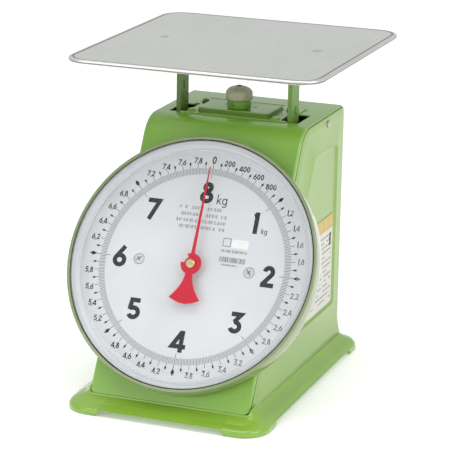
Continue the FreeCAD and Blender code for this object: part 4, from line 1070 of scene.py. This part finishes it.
def make_knob():
    """The ivory cap with a straight skirt, a domed top and a dark screw, and the green collar under it."""
    middle = (KNOB_LOW + KNOB_HIGH) / 2
    radius = (KNOB_HIGH.x - KNOB_LOW.x) / 2
    low, high = KNOB_LOW.z, KNOB_HIGH.z
    skirt = 4.6 * MM
    profile = [(0.0, low + 2 * MM), (radius * 0.8, low + 2 * MM), (radius * 0.84, low),
               (radius - 0.35 * MM, low), (radius, low + 0.5 * MM), (radius, low + skirt * 0.6),
               (radius - 0.1 * MM, low + skirt)]
    dome = high - low - skirt
    for step in range(1, 10):
        turn = math.pi / 2 * step / 11
        profile.append((radius * math.cos(turn) ** 0.82, low + skirt + dome * math.sin(turn)))
    profile += [(3.0 * MM, high), (2.6 * MM, high - 0.4 * MM), (2.5 * MM, high - 1.2 * MM),
                (0.0, high - 1.2 * MM)]
    place = Matrix.Translation((middle.x, middle.y, 0))
    cap = lathe("knob_cap", profile, "ivory", "zero_adjuster", place, 64)
    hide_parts("zero_knob")
    screw = [(0.0, high - 1.5 * MM), (2.5 * MM, high - 1.5 * MM), (2.6 * MM, high - 0.2 * MM),
             (2.1 * MM, high + 0.5 * MM), (1.1 * MM, high + 0.85 * MM), (0.0, high + 0.9 * MM)]
    top_screw = lathe("knob_screw", screw, "dark", "zero_adjuster", place, 32)
    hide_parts("knob_cap_screw")
    radius = (COLLAR_HIGH.x - COLLAR_LOW.x) / 2
    low, high = COLLAR_LOW.z, COLLAR_HIGH.z
    collar = [(0.0, low), (radius - 0.5 * MM, low), (radius, low + 0.5 * MM), (radius, high - 0.9 * MM),
              (radius - 0.25 * MM, high - 0.3 * MM), (radius - 0.8 * MM, high), (0.0, high)]
    ring = lathe("knob_collar_ring", collar, "post_green", "zero_adjuster", place, 64)
    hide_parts("knob_collar")


# ---- springs


def make_spring(side):
    """A close coil of round wire that stretches between the hanger and the carrier."""
    name = "spring_left" if side < 0 else "spring_right"
    low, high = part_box(name)
    wire = 1.0 * MM
    middle = (low + high) / 2
    radius = (high.x - low.x) / 2 - wire
    turns = 24
    steps = turns * 20
    ring = 8
    vertices = []
    for step in range(steps + 1):
        turn = 2 * math.pi * turns * step / steps
        height = low.z + wire + (high.z - low.z - 2 * wire) * step / steps
        away = Vector((math.cos(turn), math.sin(turn), 0))
        centre = Vector((middle.x, middle.y, height)) + away * radius
        for i in range(ring):
            around = 2 * math.pi * i / ring
            lift = Vector((0, 0, wire * math.sin(around)))
            vertices.append(centre + away * (wire * math.cos(around)) + lift)
    faces = []
    for step in range(steps):
        for i in range(ring):
            j = (i + 1) % ring
            faces.append((step * ring + i, step * ring + j, (step + 1) * ring + j, (step + 1) * ring + i))
    faces += [tuple(range(ring)), tuple(steps * ring + i for i in range(ring))]
    coil = new_piece(name + "_coil", vertices, faces, "spring", None)
    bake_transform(coil)
    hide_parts(name)


# ---- rating label


def make_label():
    """The paper label on the right cover: a yellow band, and greyed-out lines below it."""
    low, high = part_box("rating_label")
    face = CASE_HIGH.x - 0.5 * MM
    band = 13.5 * MM

    def sheet(name, y0, y1, z0, z1, thickness, material):
        outline = rounded([(y0, z0), (y1, z0), (y1, z1), (y0, z1)], 0.8 * MM, 4)
        loops = [[Vector((face + out, p.x, p.y)) for p in outline] for out in (0.0, thickness)]
        vertices, faces = skin_loops(loops)
        return new_piece(name, vertices, faces, material, "root", False)

    back = sheet("label_sheet", low.y, high.y, low.z, high.z, 0.12 * MM, "label_white")
    sheet("label_band", low.y, high.y, high.z - band, high.z, 0.16 * MM, "label_yellow")
    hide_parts("rating_label")
    dice = random.Random(11)
    vertices, faces = [], []

    def mark(y, z, width, height):
        start = len(vertices)
        corners = [(y, z), (y + width, z), (y + width, z + height), (y, z + height)]
        for out in (0.12 * MM, 0.20 * MM):
            vertices.extend(Vector((face + out, a, b)) for a, b in corners)
        faces.extend([tuple(start + i for i in range(4)), tuple(start + 4 + i for i in range(4))])
        faces.extend((start + i, start + (i + 1) % 4, start + 4 + (i + 1) % 4, start + 4 + i)
                     for i in range(4))

    z = high.z - band - 6.0 * MM
    while z > low.z + 4 * MM:
        y = low.y + 5 * MM
        while y < high.y - 6 * MM:
            width = dice.uniform(2.0, 7.0) * MM
            if dice.random() > 0.25:
                mark(y, z, min(width, high.y - 4 * MM - y), 1.1 * MM)
            y += width + dice.uniform(1.0, 2.5) * MM
        z -= 4.6 * MM
    mark(high.y - 10 * MM, high.z - band - 16 * MM, 5 * MM, 12 * MM)
    new_piece("label_lines", vertices, faces, "pale_ink", "root", False)
    vertices, faces = [], []
    for share in (0.62, 0.78, 0.90):
        mark(low.y + (high.y - low.y) * share, high.z - band + 4 * MM, 1.6 * MM, 6 * MM)
    for vertex in vertices:
        vertex.x += 0.06 * MM
    new_piece("label_band_marks", vertices, faces, "brass", "root", False)


# ---- finishes on the model's own pieces


FINISHES = {
    "post_green": ("post_right", "post_screws"),
    "post_shade": ("post_left",),
    "green": ("bridge_screws",),
    # The bridge bolts and the collar's grub screw take the darker green: painted shade.
    "painted_shade_green": ("bridge_bolts", "collar_grub_screw"),
    "dial": ("dial_plate",),
    "red": ("pointer_hub",),
    "rubber": ("rubber_feet", "stop_buffer"),
    "brass": ("hub_nut", "pinion", "rack", "front_bearing", "rear_bearing"),
    "bright": ("pan_screws", "spindle", "zero_screw", "hanger_guides", "upper_rear_pin",
               "lower_rear_pin", "upper_front_pins", "lower_front_pins"),
}


def finish_nodes():
    """Gives every CAD node that stays visible a procedural material, zinc where none is named."""
    chosen = {node: material for material, group in FINISHES.items() for node in group}
    for name, node in nodes.items():
        if node.hide_render:
            continue
        for slot in node.material_slots:
            slot.material = MATERIALS[chosen.get(name, "zinc")]


# ---- stage, light and camera


def make_stage():
    size = 12.0
    steps = 24
    lines = [size * step / steps - size / 2 for step in range(steps + 1)]
    vertices = [(x, y, 0.0) for y in lines for x in lines]
    row = steps + 1
    faces = [(b * row + a, b * row + a + 1, (b + 1) * row + a + 1, (b + 1) * row + a)
             for b in range(steps) for a in range(steps)]
    mesh = bpy.data.meshes.new("floor")
    mesh.from_pydata(vertices, [], faces)
    floor = bpy.data.objects.new("floor", mesh)
    bpy.context.scene.collection.objects.link(floor)
    shader = Shader("floor_paper", Roughness=0.9)
    shader.shade(shader.noise(3.0), (1.0, 1.0, 1.0), 0.93, 0.95)
    shader.surface.inputs["Emission Color"].default_value = (1.0, 1.0, 1.0, 1)
    shader.surface.inputs["Emission Strength"].default_value = 0.25
    mesh.materials.append(shader.material)


def area_light(name, position, target, size, power):
    light = bpy.data.lights.new(name, "AREA")
    light.shape = "RECTANGLE"
    light.size, light.size_y = size
    light.energy = power
    lamp = bpy.data.objects.new(name, light)
    lamp.location = position
    lamp.rotation_mode = "QUATERNION"
    lamp.rotation_quaternion = (Vector(target) - Vector(position)).to_track_quat("-Z", "Y")
    bpy.context.scene.collection.objects.link(lamp)


def make_light():
    world = bpy.data.worlds.new("studio")
    world.use_nodes = True
    world.node_tree.nodes["Background"].inputs["Color"].default_value = (1.0, 1.0, 1.0, 1)
    world.node_tree.nodes["Background"].inputs["Strength"].default_value = 0.70
    bpy.context.scene.world = world
    middle = (0, 0, 0.15)
    area_light("key_right", (1.7, -0.5, 1.3), middle, (1.2, 1.2), 13.0)
    area_light("top_soft", (-0.2, -0.3, 2.2), middle, (1.6, 1.6), 18.0)
    area_light("front_fill", (-1.2, -2.0, 0.9), middle, (1.2, 1.0), 7.0)
    bpy.context.scene.view_settings.view_transform = "Standard"


def make_camera():
    azimuth, elevation, roll = math.radians(20.68), math.radians(15.96), math.radians(1.08)
    distance = 1.972
    target = Vector((0.01525, -0.03913, 0.15157))
    back = Vector((math.sin(azimuth) * math.cos(elevation), -math.cos(azimuth) * math.cos(elevation),
                   math.sin(elevation)))
    level = Vector((0, 0, 1)).cross(back).normalized()
    upright = back.cross(level)
    right = level * math.cos(roll) + upright * math.sin(roll)
    up = upright * math.cos(roll) - level * math.sin(roll)
    camera = bpy.data.cameras.new("camera")
    camera.sensor_width = 36.0
    camera.lens = 181.77
    camera.clip_end = 50.0
    seat = bpy.data.objects.new("camera", camera)
    turn = Matrix((right, up, back)).transposed()
    seat.matrix_world = Matrix.Translation(target + back * distance) @ turn.to_4x4()
    bpy.context.scene.collection.objects.link(seat)
    bpy.context.scene.camera = seat


# ---- everything


def make_scale():
    make_pan()
    make_base()
    make_case()
    make_bridge()
    make_side_panel(-1)
    make_side_panel(1)
    make_dial_print()
    make_dial_screws()
    inner = make_bezel()
    make_surround(inner)
    make_cover(inner)
    make_pointer()
    make_knob()
    make_spring(-1)
    make_spring(1)
    make_label()
    finish_nodes()


make_scale()
make_stage()
make_light()
make_camera()
